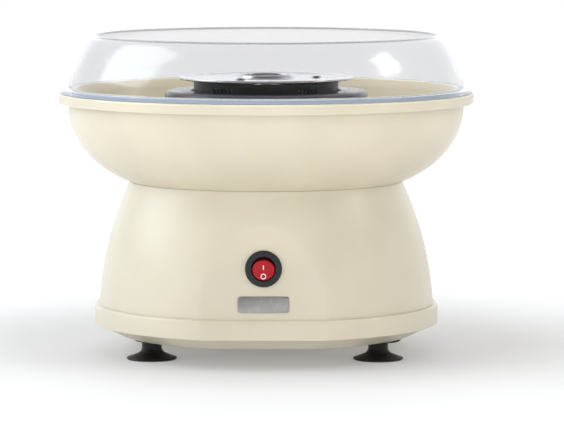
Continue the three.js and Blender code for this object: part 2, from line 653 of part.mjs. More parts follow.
function bowl() {
  const rimInner = RIM_RADIUS - 2.2;
  const upstandInner = UPSTAND_RADIUS - 2.2;
  const chimneyOuter = CHIMNEY_RADIUS + BOWL_WALL;
  const edge = BOWL_WALL / 2;
  return turned([
    [CHIMNEY_RADIUS, BOWL_BOTTOM], [CHIMNEY_RADIUS + 4, BOWL_BOTTOM],
    ...bowlOutline(0, 76, 0, 7),
    [BOWL_WALL_RADIUS, RIM_TOP - 3], [rimInner, RIM_TOP - 3], [rimInner, RIM_BOTTOM],
    [RIM_RADIUS, RIM_BOTTOM], [RIM_RADIUS, RIM_TOP - 1.2], [RIM_RADIUS - 1.2, RIM_TOP],
    [UPSTAND_RADIUS, RIM_TOP], [UPSTAND_RADIUS, UPSTAND_TOP - 0.8],
    [UPSTAND_RADIUS - 1.1, UPSTAND_TOP], [upstandInner, UPSTAND_TOP - 0.8],
    [upstandInner, RIM_TOP - 2.6],
    ...bowlOutline(BOWL_WALL, 0, 78, 6),
    [chimneyOuter, 116], [chimneyOuter, CHIMNEY_TOP - edge],
    ...arc([CHIMNEY_RADIUS + edge, CHIMNEY_TOP - edge], edge, 45, 180, 2),
  ]);
}

function guard() {
  const flangeBottom = RIM_TOP + GAP;
  const mouth = [GUARD_MOUTH_RADIUS, GUARD_TOP - 0.9];
  return turned([
    [GUARD_OUTLINE[0][0] - GUARD_WALL, flangeBottom], [GUARD_FLANGE_RADIUS, flangeBottom],
    [GUARD_FLANGE_RADIUS, GUARD_FLANGE_TOP - 0.5], [GUARD_FLANGE_RADIUS - 0.5, GUARD_FLANGE_TOP],
    [GUARD_OUTLINE[0][0] + 0.8, GUARD_FLANGE_TOP],
    ...GUARD_OUTLINE, [mouth[0] + 0.8, GUARD_TOP], mouth, [mouth[0] + 0.8, GUARD_TOP - GUARD_WALL],
    ...GUARD_OUTLINE.filter((_, i) => i % 2 === 0 && i < 6)
      .map(([radius, z]) => [radius - GUARD_WALL, z - 0.9]).reverse(),
  ]);
}

// ---- extractor head ----
function rivetHoles() {
  return thirds(0).map((angle) =>
    placed(rod(RIVET_HOLE, BAND_BOTTOM, 200, SCREW_SIDES), ...polar(RIVET_RADIUS, angle)));
}

function headTopPlate() {
  const top = PLATE_TOP;
  const field = top - 0.9;
  const under = field - PLATE_SHEET;
  const plate = turned([[WELL_RADIUS, top - 1.6], [WELL_RADIUS, top + 0.8],
    [WELL_RADIUS + 1, top + 1.4], [WELL_RADIUS + 2.2, top + 0.8], [WELL_RADIUS + 3.4, field],
    [PLATE_RADIUS - 4.5, field], [PLATE_RADIUS - 2.6, top], [PLATE_RADIUS - 0.5, top],
    [PLATE_RADIUS, top - 0.7], [PLATE_RADIUS - 0.5, top - 1.5], [PLATE_RADIUS - 3, top - 1.7],
    [PLATE_RADIUS - 4.8, under], [WELL_RADIUS + 2, under]]);
  return cut(plate, ...rivetHoles());
}

function headBand() {
  const band = ring(BAND_RADIUS - BAND_WALL, BAND_RADIUS, BAND_BOTTOM, BAND_TOP);
  const slot = block(BAND_RADIUS - 9, BAND_RADIUS + 9, -SLOT_WIDTH / 2, SLOT_WIDTH / 2,
    SLOT_BOTTOM, SLOT_TOP);
  const slots = Array.from({ length: SLOT_GROUPS * GROUP_SLOTS }, (_, i) => {
    const group = Math.floor(i / GROUP_SLOTS);
    const step = i % GROUP_SLOTS - (GROUP_SLOTS - 1) / 2;
    const angle = Math.PI / 2 + group * 2 * Math.PI / SLOT_GROUPS + step * SLOT_PITCH / BAND_RADIUS;
    return placed(slot, 0, 0, 0, angle);
  });
  return cut(band, ...slots);
}

function headFloor() {
  const outer = BAND_RADIUS - BAND_WALL - GAP;
  const top = HEAD_FLOOR_TOP;
  const under = top - HEAD_FLOOR_SHEET;
  const floor = turned([[HUB_RADIUS + GAP, under], [outer, under], [outer, top + 1.4],
    [outer - 1, top + 1.4], [outer - 2, top], [HUB_RADIUS + GAP, top]]);
  return cut(floor, ...rivetHoles());
}

function headHub() {
  const bore = SHAFT_RADIUS + GAP;
  const bottom = PIN_Z - 1.4;
  const flange = HUB_RADIUS + 5;
  const seat = HEAD_FLOOR_TOP + GAP;
  const nose = SHAFT_TOP + 1.8;
  const hub = turned([[bore, bottom], [HUB_RADIUS, bottom], [HUB_RADIUS, seat], [flange, seat],
    [flange, seat + 1.5], [HUB_RADIUS - 0.5, seat + 2.7], [5.6, nose - 0.6], [4.4, nose],
    [0, nose], [0, SHAFT_TOP + GAP], [bore, SHAFT_TOP + GAP]], 24);
  const pinSlot = block(-20, 20, -1.4, 1.4, bottom - 2, PIN_Z + 1.4);
  return cut(hub, pinSlot);
}

function headRivet() {
  const underFloor = HEAD_FLOOR_TOP - HEAD_FLOOR_SHEET - GAP;
  const underPlate = PLATE_TOP - 0.9 - PLATE_SHEET - GAP;
  const overPlate = PLATE_TOP - 0.9 + GAP;
  return turned([[0, underFloor - 1.2], [2.6, underFloor - 1.2], [3.2, underFloor], [1.6, underFloor],
    [1.6, HEAD_FLOOR_TOP + GAP], [2.8, HEAD_FLOOR_TOP + GAP], [2.8, underPlate], [1.6, underPlate],
    [1.6, overPlate], [3.2, overPlate], [2.4, overPlate + 1.1], [0, overPlate + 1.2]], SCREW_SIDES);
}

// ---- assembly ----
add("base_housing", cream, baseHousing());
add("bottom_cover", cream, bottomCover());
footPlaces().forEach(([name, x, y]) => add(`foot_${name}`, rubber, placed(foot(), x, y)));
screwAngles.forEach((angle, i) =>
  add(`cover_screw_${i + 1}`, zincSteel, placed(coverScrew(), ...polar(COVER_SCREW_RADIUS, angle))));
add("cord_gland", charcoal, cordGland());

add("turret", cream, turret());
thirds(Math.PI / 2).forEach((angle, i) => {
  const place = polar(TURRET_SCREW_RADIUS, angle);
  add(`turret_screw_${i + 1}`, zincSteel, placed(turretScrew(), ...place));
});
add("heat_shield", darkMetal, heatShield());
add("heater_ring", quartz, heaterRing());
thirds(-Math.PI / 2).forEach((angle, i) =>
  add(`heater_post_${i + 1}`, ceramic, placed(heaterPost(), ...polar(HEATER_RADIUS, angle))));
[-1, 1].forEach((side, i) => {
  const angle = Math.PI / 2 + side * (HEATER_GAP / 2 - Math.asin(CAP_HALF / HEATER_RADIUS));
  const cap = placed(heaterCap(), ...polar(HEATER_RADIUS, angle), 0, angle);
  add(`heater_cap_${i + 1}`, ceramic, cap);
});

add("motor_can", zincSteel, motorCan());
[0, Math.PI].forEach((turn, i) =>
  add(`motor_magnet_${i + 1}`, darkMetal, placed(motorMagnet(), 0, 0, 0, turn)));
add("motor_end_bell", charcoal, motorEndBell());
add("motor_bracket", zincSteel, motorBracket());
thirds(-Math.PI / 2).forEach((angle, i) => {
  const place = polar(BRACKET_ARM, angle);
  add(`bracket_grommet_${i + 1}`, rubber, placed(grommet(), ...place));
  add(`bracket_screw_${i + 1}`, zincSteel, placed(bracketScrew(), ...place));
});
[-1, 1].forEach((side, i) =>
  add(`motor_screw_${i + 1}`, zincSteel, placed(motorScrew(), side * MOTOR_SCREW_X, 0)));
add("motor_shaft", polishedSteel, motorShaft());
add("armature_core", darkMetal, armatureCore());
add("commutator", copper, commutator());
add("shaft_flinger", brass, shaftFlinger());
add("drive_pin", polishedSteel, sideways(rod(PIN_RADIUS, -6.2, 6.2, 8), PIN_Z));

add("thermal_cutout", charcoal, thermalCutout());
add("rectifier_board", laminate, rectifierBoard());
add("terminal_block", charcoal, terminalBlock());

const switchFrame = facetMatrix(SWITCH_Z);
add("switch_housing", charcoal, moved(switchHousing(), switchFrame));
[-1, 1].forEach((side, i) =>
  add(`switch_terminal_${i + 1}`, brass,
    moved(placed(switchTerminal(), 0, side * TERMINAL_SPREAD), switchFrame)));
add("switch_rocker", red, moved(rocker(), switchFrame));
add("badge", badgeMetal, moved(badgeShape(0, -0.5, 0.5), facetMatrix(BADGE_Z)));

add("bowl", cream, bowl());
add("guard", clear, guard());

add("head_top_plate", aluminium, headTopPlate());
add("head_band", darkMetal, headBand());
add("head_floor", aluminium, headFloor());
add("head_hub", aluminium, headHub());
thirds(0).forEach((angle, i) =>
  add(`head_rivet_${i + 1}`, zincSteel, placed(headRivet(), ...polar(RIVET_RADIUS, angle))));

export default group;
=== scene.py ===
"""Looks of a tabletop cotton candy machine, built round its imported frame.

Lengths are in millimetres until a mesh is finished, when they become metres. Every piece stands
where the frame's node of the same kind stands, and takes its main sizes from that node's box.
"""

from __future__ import annotations

import logging
import math
from dataclasses import dataclass, field
from enum import Enum
from typing import Any, Callable, Iterable, Sequence

import bmesh
import bpy
from mathutils import Matrix, Vector

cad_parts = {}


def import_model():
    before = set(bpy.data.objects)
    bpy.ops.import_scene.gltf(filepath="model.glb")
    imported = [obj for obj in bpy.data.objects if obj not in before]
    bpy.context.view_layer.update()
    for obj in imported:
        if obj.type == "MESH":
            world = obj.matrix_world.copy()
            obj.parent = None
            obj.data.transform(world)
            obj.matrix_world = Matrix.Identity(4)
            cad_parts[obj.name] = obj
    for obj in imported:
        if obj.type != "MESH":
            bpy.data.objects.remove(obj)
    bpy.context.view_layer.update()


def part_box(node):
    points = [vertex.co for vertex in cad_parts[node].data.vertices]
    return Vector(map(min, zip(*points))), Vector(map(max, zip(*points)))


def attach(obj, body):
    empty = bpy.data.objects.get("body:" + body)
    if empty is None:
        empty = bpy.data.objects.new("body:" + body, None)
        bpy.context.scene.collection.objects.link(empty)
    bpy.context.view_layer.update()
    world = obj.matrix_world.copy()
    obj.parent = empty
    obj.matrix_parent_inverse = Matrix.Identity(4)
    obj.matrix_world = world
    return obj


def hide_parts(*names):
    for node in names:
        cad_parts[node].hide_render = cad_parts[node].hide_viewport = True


log = logging.getLogger("cotton_candy_machine")

MM = 0.001
FULL_TURN = 2 * math.pi
Colour = tuple[float, float, float]


class Body(Enum):
    """The frame's moving bodies."""

    BASE = "base"
    DRIVE = "drive"
    HEAD = "head"
    BOWL = "bowl"
    GUARD = "guard"
    ROCKER = "rocker"


class Slot(Enum):
    """The record's material slots."""

    CREAM = "cream_plastic"
    RUBBER = "foot_rubber"
    ZINC = "zinc_steel"
    BLACK = "black_plastic"
    STEEL = "polished_steel"
    QUARTZ = "quartz"
    CERAMIC = "ceramic"
    DARK_STEEL = "dark_steel"
    BOARD = "board"
    BRASS = "brass"
    COPPER = "copper"
    BADGE = "badge_metal"
    ALUMINIUM = "head_aluminium"
    CLEAR = "clear_plastic"
    RED = "red_plastic"


# ------------------------------------------------------------------------------------------------
# Shader building
# ------------------------------------------------------------------------------------------------


class Value:
    """A number that varies over a surface, as a socket with arithmetic."""

    def __init__(self, shader: "Shader", socket: bpy.types.NodeSocket) -> None:
        """Wraps a socket.

        Args:
            shader: the shader that the socket belongs to.
            socket: the output socket that carries the number.
        """
        self.shader = shader
        self.socket = socket

    def math(self, operation: str, *others: "Value | float", first: Any = None) -> "Value":
        """Adds one Math node.

        Args:
            operation: the Math node's operation.
            others: the operands after this value.
            first: an operand that goes before this value, if there is one.

        Returns:
            The result as a value.
        """
        operands = [self, *others] if first is None else [first, self, *others]
        inputs = dict(enumerate(operands))
        node = self.shader.node("ShaderNodeMath", {"operation": operation}, inputs)
        return Value(self.shader, node.outputs[0])

    def __add__(self, other: "Value | float") -> "Value":
        """This plus other."""
        return self.math("ADD", other)

    __radd__ = __add__

    def __mul__(self, other: "Value | float") -> "Value":
        """This times other."""
        return self.math("MULTIPLY", other)

    __rmul__ = __mul__

    def __sub__(self, other: "Value | float") -> "Value":
        """This minus other."""
        return self.math("SUBTRACT", other)

    def __rsub__(self, other: float) -> "Value":
        """Other minus this."""
        return self.math("SUBTRACT", first=other)

    def __truediv__(self, other: "Value | float") -> "Value":
        """This over other."""
        return self.math("DIVIDE", other)

    def __pow__(self, other: "Value | float") -> "Value":
        """This to a power."""
        return self.math("POWER", other)

    def clamped(self) -> "Value":
        """This, held between 0 and 1."""
        return self.math("MAXIMUM", 0.0).math("MINIMUM", 1.0)

    def ramp(self, low: float, high: float) -> "Value":
        """Rises smoothly from 0 to 1 as this goes from low to high.

        Args:
            low: where the ramp starts.
            high: where it ends.

        Returns:
            The ramped value.
        """
        settings = {"interpolation_type": "SMOOTHSTEP"}
        inputs = {"Value": self, "From Min": low, "From Max": high}
        node = self.shader.node("ShaderNodeMapRange", settings, inputs)
        return Value(self.shader, node.outputs[0])


class Shader:
    """The node tree of one material, or of the room, under construction."""

    def __init__(self, name: str, room: bool = False) -> None:
        """Starts an empty tree.

        Args:
            name: the material's name, or the room's.
            room: True for the room's light in place of a material.
        """
        self.owner = (bpy.data.worlds if room else bpy.data.materials).new(name)
        self.owner.use_nodes = True
        self.tree = self.owner.node_tree
        self.tree.nodes.clear()

    def node(self, kind: str, settings: dict[str, Any] | None = None,
             inputs: dict[Any, Any] | None = None) -> bpy.types.Node:
        """Adds a node.

        Args:
            kind: the node's type.
            settings: the node's properties, set before its sockets.
            inputs: values, sockets or Values for its input sockets, by name or number.

        Returns:
            The node.
        """
        node = self.tree.nodes.new(kind)
        for name, setting in (settings or {}).items():
            setattr(node, name, setting)
        for name, given in (inputs or {}).items():
            socket = node.inputs[name]
            if isinstance(given, Value):
                self.tree.links.new(given.socket, socket)
            elif isinstance(given, bpy.types.NodeSocket):
                self.tree.links.new(given, socket)
            else:
                socket.default_value = given
        return node

    def place(self) -> bpy.types.NodeSocket:
        """The point's place on the object, in metres."""
        return self.node("ShaderNodeTexCoord").outputs["Object"]

    def axis(self, index: int) -> Value:
        """One coordinate of the point's place, 0 for X to 2 for Z."""
        split = self.node("ShaderNodeSeparateXYZ", inputs={0: self.place()})
        return Value(self, split.outputs[index])

    def noise(self, scale: float, detail: float = 2.0, roughness: float = 0.5,
              vector: bpy.types.NodeSocket | None = None) -> Value:
        """Cloudy noise from 0 to 1.

        Args:
            scale: features per metre.
            detail: octaves of finer noise.
            roughness: how strong the finer octaves are.
            vector: where to look it up, if not at the point's place.

        Returns:
            The noise.
        """
        inputs = {"Vector": vector or self.place(), "Scale": scale, "Detail": detail,
                  "Roughness": roughness}
        return Value(self, self.node("ShaderNodeTexNoise", inputs=inputs).outputs["Fac"])

    def stretched(self, stretch: Sequence[float]) -> bpy.types.NodeSocket:
        """The point's place with each axis scaled, for grain that runs one way."""
        mapping = self.node("ShaderNodeMapping", inputs={"Vector": self.place(), "Scale": stretch})
        return mapping.outputs[0]

    def rings(self, centre: Sequence[float], wobble: float) -> bpy.types.NodeSocket:
        """Coordinates that vary fast with radius and slowly round the circle, for turned marks.

        Args:
            centre: the turning axis, in metres.
            wobble: how much the marks change round the circle.

        Returns:
            A vector socket.
        """
        x = self.axis(0) - centre[0]
        y = self.axis(1) - centre[1]
        radius = (x * x + y * y).math("SQRT")
        inputs = {0: radius, 1: x / (radius + 0.001) * wobble, 2: y / (radius + 0.001) * wobble}
        return self.node("ShaderNodeCombineXYZ", inputs=inputs).outputs[0]

    def blend(self, factor: Value, first: Any, second: Any) -> bpy.types.NodeSocket:
        """Mixes two colours.

        Args:
            factor: 0 for the first colour, 1 for the second.
            first: a colour or a colour socket.
            second: a colour or a colour socket.

        Returns:
            The mixed colour.
        """
        colours = [(*c, 1.0) if isinstance(c, tuple) else c for c in (first, second)]
        inputs = {0: factor, 6: colours[0], 7: colours[1]}
        return self.node("ShaderNodeMix", {"data_type": "RGBA"}, inputs).outputs[2]

    def bump(self, height: Value, distance: float, strength: float = 1.0,
             under: bpy.types.NodeSocket | None = None) -> bpy.types.NodeSocket:
        """A surface normal from a height.

        Args:
            height: the height, from 0 to 1.
            distance: how many metres a height of 1 stands for.
            strength: share of the bump that shows.
            under: a coarser bump that this one lies on.

        Returns:
            The normal.
        """
        inputs: dict[Any, Any] = {"Height": height, "Distance": distance, "Strength": strength}
        if under is not None:
            inputs["Normal"] = under
        return self.node("ShaderNodeBump", inputs=inputs).outputs[0]

    def mix_shader(self, factor: Value, first: bpy.types.Node,
                   second: bpy.types.Node) -> bpy.types.Node:
        """Mixes two surfaces, from the first at a factor of 0 to the second at 1."""
        inputs = {0: factor, 1: first.outputs[0], 2: second.outputs[0]}
        return self.node("ShaderNodeMixShader", inputs=inputs)

    def finish(self, surface: bpy.types.Node) -> bpy.types.Material:
        """Joins the last surface to the output and returns the finished material."""
        self.node("ShaderNodeOutputMaterial", inputs={"Surface": surface.outputs[0]})
        return self.owner

    def surface(self, **sockets: Any) -> bpy.types.Material:
        """Ends the tree in a Principled surface.

        Args:
            sockets: its sockets, with underscores for the spaces in their names.

        Returns:
            The finished material.
        """
        inputs = {name.replace("_", " "): given for name, given in sockets.items()}
        return self.finish(self.node("ShaderNodeBsdfPrincipled", inputs=inputs))


# ------------------------------------------------------------------------------------------------
# Finishes
# ------------------------------------------------------------------------------------------------


@dataclass(frozen=True)
class Finish:
    """What every finish has: a name and the record's slot that it belongs to."""

    name: str
    slot: Slot

    @property
    def title(self) -> str:
        """The material's own name, which no material of the frame has."""
        return f"{self.name}_finish"

    def build(self) -> bpy.types.Material:
        """Makes the material."""
        raise NotImplementedError

    def material(self) -> bpy.types.Material:
        """The finish's material, made the first time that it's asked for."""
        found = bpy.data.materials.get(self.title)
        return found if found is not None else self.build()


@dataclass(frozen=True)
class MouldedPlastic(Finish):
    """Injection-moulded plastic: faint colour drift, orange peel, handling marks in the gloss."""

    colour: Colour
    roughness: float = 0.3
    drift: float = 0.03
    peel_scale: float = 900.0
    peel_depth: float = 4e-6
    smear: float = 0.08
    glow: float = 0.0
    glow_depth: float = 0.002
    shine: float = 0.5
    lacquer: float = 0.0

    def build(self) -> bpy.types.Material:
        """Makes the material."""
        shader = Shader(self.title)
        clouds = shader.noise(18.0, 3.0)
        paler = tuple(min(c * (1 + self.drift), 1.0) for c in self.colour)
        darker = tuple(c * (1 - self.drift) for c in self.colour)
        fine = shader.noise(self.peel_scale, 2.0)
        smears = shader.noise(55.0, 4.0, 0.65, shader.stretched((1.0, 1.0, 0.35)))
        rough = smears.ramp(0.35, 0.75) * self.smear + (self.roughness - self.smear / 2)
        peel = shader.bump(fine, self.peel_depth)
        dust = shader.noise(4200.0, 1.0)
        normal = shader.bump(dust, self.peel_depth / 3, 0.6, peel)
        return shader.surface(
            Base_Color=shader.blend(clouds.ramp(0.3, 0.7), darker, paler),
            Roughness=rough, IOR=1.5, Specular_IOR_Level=self.shine, Normal=normal,
            Coat_Weight=self.lacquer, Coat_Roughness=0.22, Subsurface_Weight=self.glow,
            Subsurface_Radius=(1.0, 0.85, 0.6), Subsurface_Scale=self.glow_depth)


@dataclass(frozen=True)
class ClearPlastic(Finish):
    """Water-clear moulded plastic: see-through face on, with painted shade where it is seen edge on
    and in its heavy-walled parts: an opaque blue-grey layer stands in for the darkening that
    refraction gives there, and turns near-black at the mouth's lip.

    The flange and the lip are the guard's heavy-walled parts, and their places are in millimetres.
    """

    clear: Colour
    # painted shade: the opaque blue-grey of the flange and of edge-on faces, standing in for
    # refraction's darkening
    thick_shade: Colour
    # painted shade: the near-black of the lip, a painted dark line round the mouth
    edge: Colour = (0.1, 0.095, 0.095)
    # shares of the painted-shade layer: at grazing angles, in the flange and at the lip
    grazing_shade: float = 0.2
    flange_top: float = 179.7
    flange_shade: float = 0.55
    lip_radius: float = 116.0
    lip_shade: float = 0.55

    def lip(self, shader: Shader) -> Value:
        """1 at the rim of the guard's mouth, 0 away from it."""
        x, y = (shader.axis(index) * (1 / MM) for index in range(2))
        radius = (x * x + y * y).math("SQRT")
        return 1 - radius.ramp(self.lip_radius - 0.3, self.lip_radius + 0.3)

    def flange(self, shader: Shader) -> Value:
        """1 in the guard's flange, 0 above it."""
        z = shader.axis(2) * (1 / MM)
        return 1 - z.ramp(self.flange_top - 0.4, self.flange_top + 0.6)

    def build(self) -> bpy.types.Material:
        """Makes the material."""
        shader = Shader(self.title)
        layer = shader.node("ShaderNodeLayerWeight", inputs={"Blend": 0.5})
        grazing = Value(shader, layer.outputs["Facing"])
        wipes = shader.noise(40.0, 4.0, 0.6, shader.stretched((1.0, 1.0, 0.25)))
        clear = shader.node("ShaderNodeBsdfTransparent", inputs={"Color": (*self.clear, 1.0)})
        # The opaque layer is painted shade: blue-grey in the flange and edge on, near-black at the
        # lip.
        solid = shader.node("ShaderNodeBsdfPrincipled", inputs={
            "Base Color": shader.blend(self.lip(shader), self.thick_shade, self.edge),
            "Roughness": 0.12, "IOR": 1.49})
        # Painted shade goes in the flange and at the lip, and grows with the angle wherever the guard
        # is seen edge on.
        body = self.flange(shader) * self.flange_shade + self.lip(shader) * self.lip_shade
        painted_shade_share = (grazing ** 3.0 * self.grazing_shade + body).clamped()
        shell = shader.mix_shader(painted_shade_share, clear, solid)
        gloss = shader.node("ShaderNodeBsdfGlossy", inputs={
            "Color": (1.0, 1.0, 1.0, 1.0), "Roughness": wipes.ramp(0.4, 0.9) * 0.08 + 0.14})
        reflection = grazing ** 5.0 * 0.6 + 0.04
        return shader.finish(shader.mix_shader(reflection.clamped(), shell, gloss))


@dataclass(frozen=True)
class TurnedMetal(Finish):
    """Metal spun or turned on the machine's own axis, or on another upright one."""

    colour: Colour
    roughness: float = 0.25
    marks: float = 1600.0
    depth: float = 2e-6
    stain: Colour | None = None
    centre: tuple[float, float] = (0.0, 0.0)
    wear: float = 0.1

    def build(self) -> bpy.types.Material:
        """Makes the material."""
        shader = Shader(self.title)
        rings = shader.rings(self.centre, 0.004)
        marks = shader.noise(self.marks, 3.0, 0.7, rings)
        blotches = shader.noise(60.0, 4.0, 0.6)
        stain = self.stain or tuple(c * 0.86 for c in self.colour)
        scratches = shader.noise(900.0, 1.0, 0.5, shader.stretched((1.0, 0.04, 1.0)))
        rough = marks * 0.08 + blotches.ramp(0.4, 0.7) * self.wear + (self.roughness - 0.05)
        rings_bump = shader.bump(marks, self.depth)
        return shader.surface(
            Base_Color=shader.blend(blotches.ramp(0.45, 0.75) * 0.6, self.colour, stain),
            Metallic=1.0, Roughness=rough,
            Normal=shader.bump(scratches.ramp(0.68, 0.72), self.depth / 2, 0.5, rings_bump))


@dataclass(frozen=True)
class SheetMetal(Finish):
    """Stamped, cast or plated metal with a mottled, faintly pitted skin."""

    colour: Colour
    roughness: float = 0.38
    grain: tuple[float, float, float] = (1.0, 1.0, 1.0)
    grain_scale: float = 700.0
    depth: float = 6e-6
    mottle: float = 0.12

    def build(self) -> bpy.types.Material:
        """Makes the material."""
        shader = Shader(self.title)
        grain = shader.noise(self.grain_scale, 3.0, 0.6, shader.stretched(self.grain))
        patches = shader.noise(240.0, 3.0, 0.55)
        darker = tuple(c * (1 - self.mottle) for c in self.colour)
        return shader.surface(
            Base_Color=shader.blend(patches.ramp(0.35, 0.65), darker, self.colour),
            Metallic=1.0, Roughness=patches * 0.12 + grain * 0.08 + (self.roughness - 0.1),
            Normal=shader.bump(grain, self.depth))


@dataclass(frozen=True)
class CrinkledSteel(Finish):
    """Dark heat-blued sheet, crinkled by its press and shining where it is looked at edge on."""

    colour: Colour
    roughness: float = 0.2
    crinkle: float = 420.0
    depth: float = 2.4e-4

    def build(self) -> bpy.types.Material:
        """Makes the material."""
        shader = Shader(self.title)
        waves = shader.noise(self.crinkle, 4.0, 0.62, shader.stretched((1.0, 1.0, 2.2)))
        patches = shader.noise(70.0, 3.0, 0.6)
        warm = tuple(c * f for c, f in zip(self.colour, (1.5, 1.25, 1.1)))
        coarse = shader.bump(waves, self.depth, 0.7)
        return shader.surface(
            Base_Color=shader.blend(patches.ramp(0.4, 0.7), self.colour, warm),
            Metallic=patches.ramp(0.2, 0.8) * 0.15,
            Roughness=patches * 0.14 + waves * 0.1 + (self.roughness - 0.1),
            IOR=1.6, Specular_IOR_Level=0.4, Coat_Weight=0.1, Coat_Roughness=0.12,
            Normal=shader.bump(shader.noise(1800.0, 2.0), 8e-6, 0.6, coarse))


@dataclass(frozen=True)
class MouldedRubber(Finish):
    """Black rubber with a soft sheen and a dusting of bloom."""

    colour: Colour
    roughness: float = 0.42

    def build(self) -> bpy.types.Material:
        """Makes the material."""
        shader = Shader(self.title)
        bloom = shader.noise(160.0, 4.0, 0.6)
        skin = shader.noise(2600.0, 2.0)
        dusty = tuple(c * 1.9 + 0.006 for c in self.colour)
        return shader.surface(
            Base_Color=shader.blend(bloom.ramp(0.48, 0.8), self.colour, dusty),
            Roughness=bloom * 0.2 + (self.roughness - 0.1), IOR=1.52, Specular_IOR_Level=0.35,
            Normal=shader.bump(skin, 8e-6, 0.6))


@dataclass(frozen=True)
class FiredClay(Finish):
    """Unglazed or milky fired material: ceramic posts and the heater's tube."""

    colour: Colour
    roughness: float = 0.6
    speck: float = 0.08
    glow: float = 0.2

    def build(self) -> bpy.types.Material:
        """Makes the material."""
        shader = Shader(self.title)
        specks = shader.noise(1900.0, 2.0, 0.6)
        stained = tuple(c * (1 - self.speck) * f for c, f in zip(self.colour, (1.0, 0.97, 0.9)))
        return shader.surface(
            Base_Color=shader.blend(specks.ramp(0.4, 0.7), self.colour, stained),
            Roughness=specks * 0.12 + (self.roughness - 0.06), Subsurface_Weight=self.glow,
            Subsurface_Radius=(1.0, 0.9, 0.8), Subsurface_Scale=0.0015,
            Normal=shader.bump(specks, 1.2e-5, 0.7))


@dataclass(frozen=True)
class BoardLaminate(Finish):
    """Green circuit board with paler tracks under its varnish."""

    colour: Colour

    def build(self) -> bpy.types.Material:
        """Makes the material."""
        shader = Shader(self.title)
        cells = shader.node("ShaderNodeTexVoronoi", {"distance": "CHEBYCHEV", "feature": "F1"},
                            {"Vector": shader.place(), "Scale": 210.0, "Randomness": 0.6})
        tracks = Value(shader, cells.outputs["Distance"]).ramp(0.32, 0.36)
        weave = shader.noise(1500.0, 1.0)
        paler = tuple(min(c * 2.1 + 0.01, 1.0) for c in self.colour)
        return shader.surface(
            Base_Color=shader.blend(tracks, paler, self.colour), IOR=1.55,
            Roughness=weave * 0.15 + 0.22, Normal=shader.bump(tracks, 3e-5, 0.8))


CREAM = MouldedPlastic("cream_plastic", Slot.CREAM, (0.63, 0.575, 0.45), 0.36, glow=0.25,
                       glow_depth=0.005, lacquer=0.25)
CLEAR = ClearPlastic("clear_plastic", Slot.CLEAR, (0.955, 0.957, 0.965), (0.33, 0.4, 0.5))
BLACK = MouldedPlastic("black_plastic", Slot.BLACK, (0.02, 0.02, 0.022), 0.36, peel_scale=1500.0,
                       peel_depth=1.2e-5, shine=0.4)
RED = MouldedPlastic("red_plastic", Slot.RED, (0.36, 0.006, 0.013), 0.26, glow=0.1, shine=0.35)
INK = MouldedPlastic("white_ink", Slot.RED, (0.8, 0.74, 0.74), 0.45, peel_scale=2500.0)
STEEL = TurnedMetal("polished_steel", Slot.STEEL, (0.62, 0.63, 0.65), 0.12, stain=(0.5, 0.47, 0.44),
                    wear=0.08)
ALUMINIUM = TurnedMetal("spun_aluminium", Slot.ALUMINIUM, (0.72, 0.72, 0.75), 0.24, marks=2200.0)
BAND_METAL = TurnedMetal("dark_band", Slot.DARK_STEEL, (0.06, 0.068, 0.082), 0.36, marks=1200.0)
DARK_STEEL = SheetMetal("dark_steel", Slot.DARK_STEEL, (0.06, 0.064, 0.072), 0.42)
BLUED_STEEL = CrinkledSteel("blued_steel", Slot.DARK_STEEL, (0.03, 0.033, 0.042))
ZINC = SheetMetal("zinc_steel", Slot.ZINC, (0.52, 0.53, 0.54), 0.34)
BADGE_METAL = SheetMetal("badge_metal", Slot.BADGE, (0.66, 0.645, 0.63), 0.5,
                         grain=(0.03, 1.0, 1.0), grain_scale=2600.0)
BRASS = SheetMetal("brass", Slot.BRASS, (0.62, 0.44, 0.17), 0.34)
COPPER = SheetMetal("copper", Slot.COPPER, (0.62, 0.26, 0.12), 0.32)
RUBBER = MouldedRubber("foot_rubber", Slot.RUBBER, (0.007, 0.0065, 0.0065))
CERAMIC = FiredClay("ceramic", Slot.CERAMIC, (0.8, 0.78, 0.72))
QUARTZ = FiredClay("quartz", Slot.QUARTZ, (0.75, 0.72, 0.68), 0.16, 0.05, 0.4)
LAMINATE = BoardLaminate("board", Slot.BOARD, (0.02, 0.1, 0.04))


# ------------------------------------------------------------------------------------------------
# Shape building
# ------------------------------------------------------------------------------------------------


@dataclass
class Extent:
    """A node's box, in millimetres."""

    low: Vector
    high: Vector

    @classmethod
    def of(cls, node: str) -> "Extent":
        """Measures a node of the frame."""
        low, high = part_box(node)
        return cls(low / MM, high / MM)

    @property
    def centre(self) -> Vector:
        """The box's middle."""
        return (self.low + self.high) / 2

    @property
    def radius(self) -> float:
        """Half the box's width."""
        return (self.high.x - self.low.x) / 2


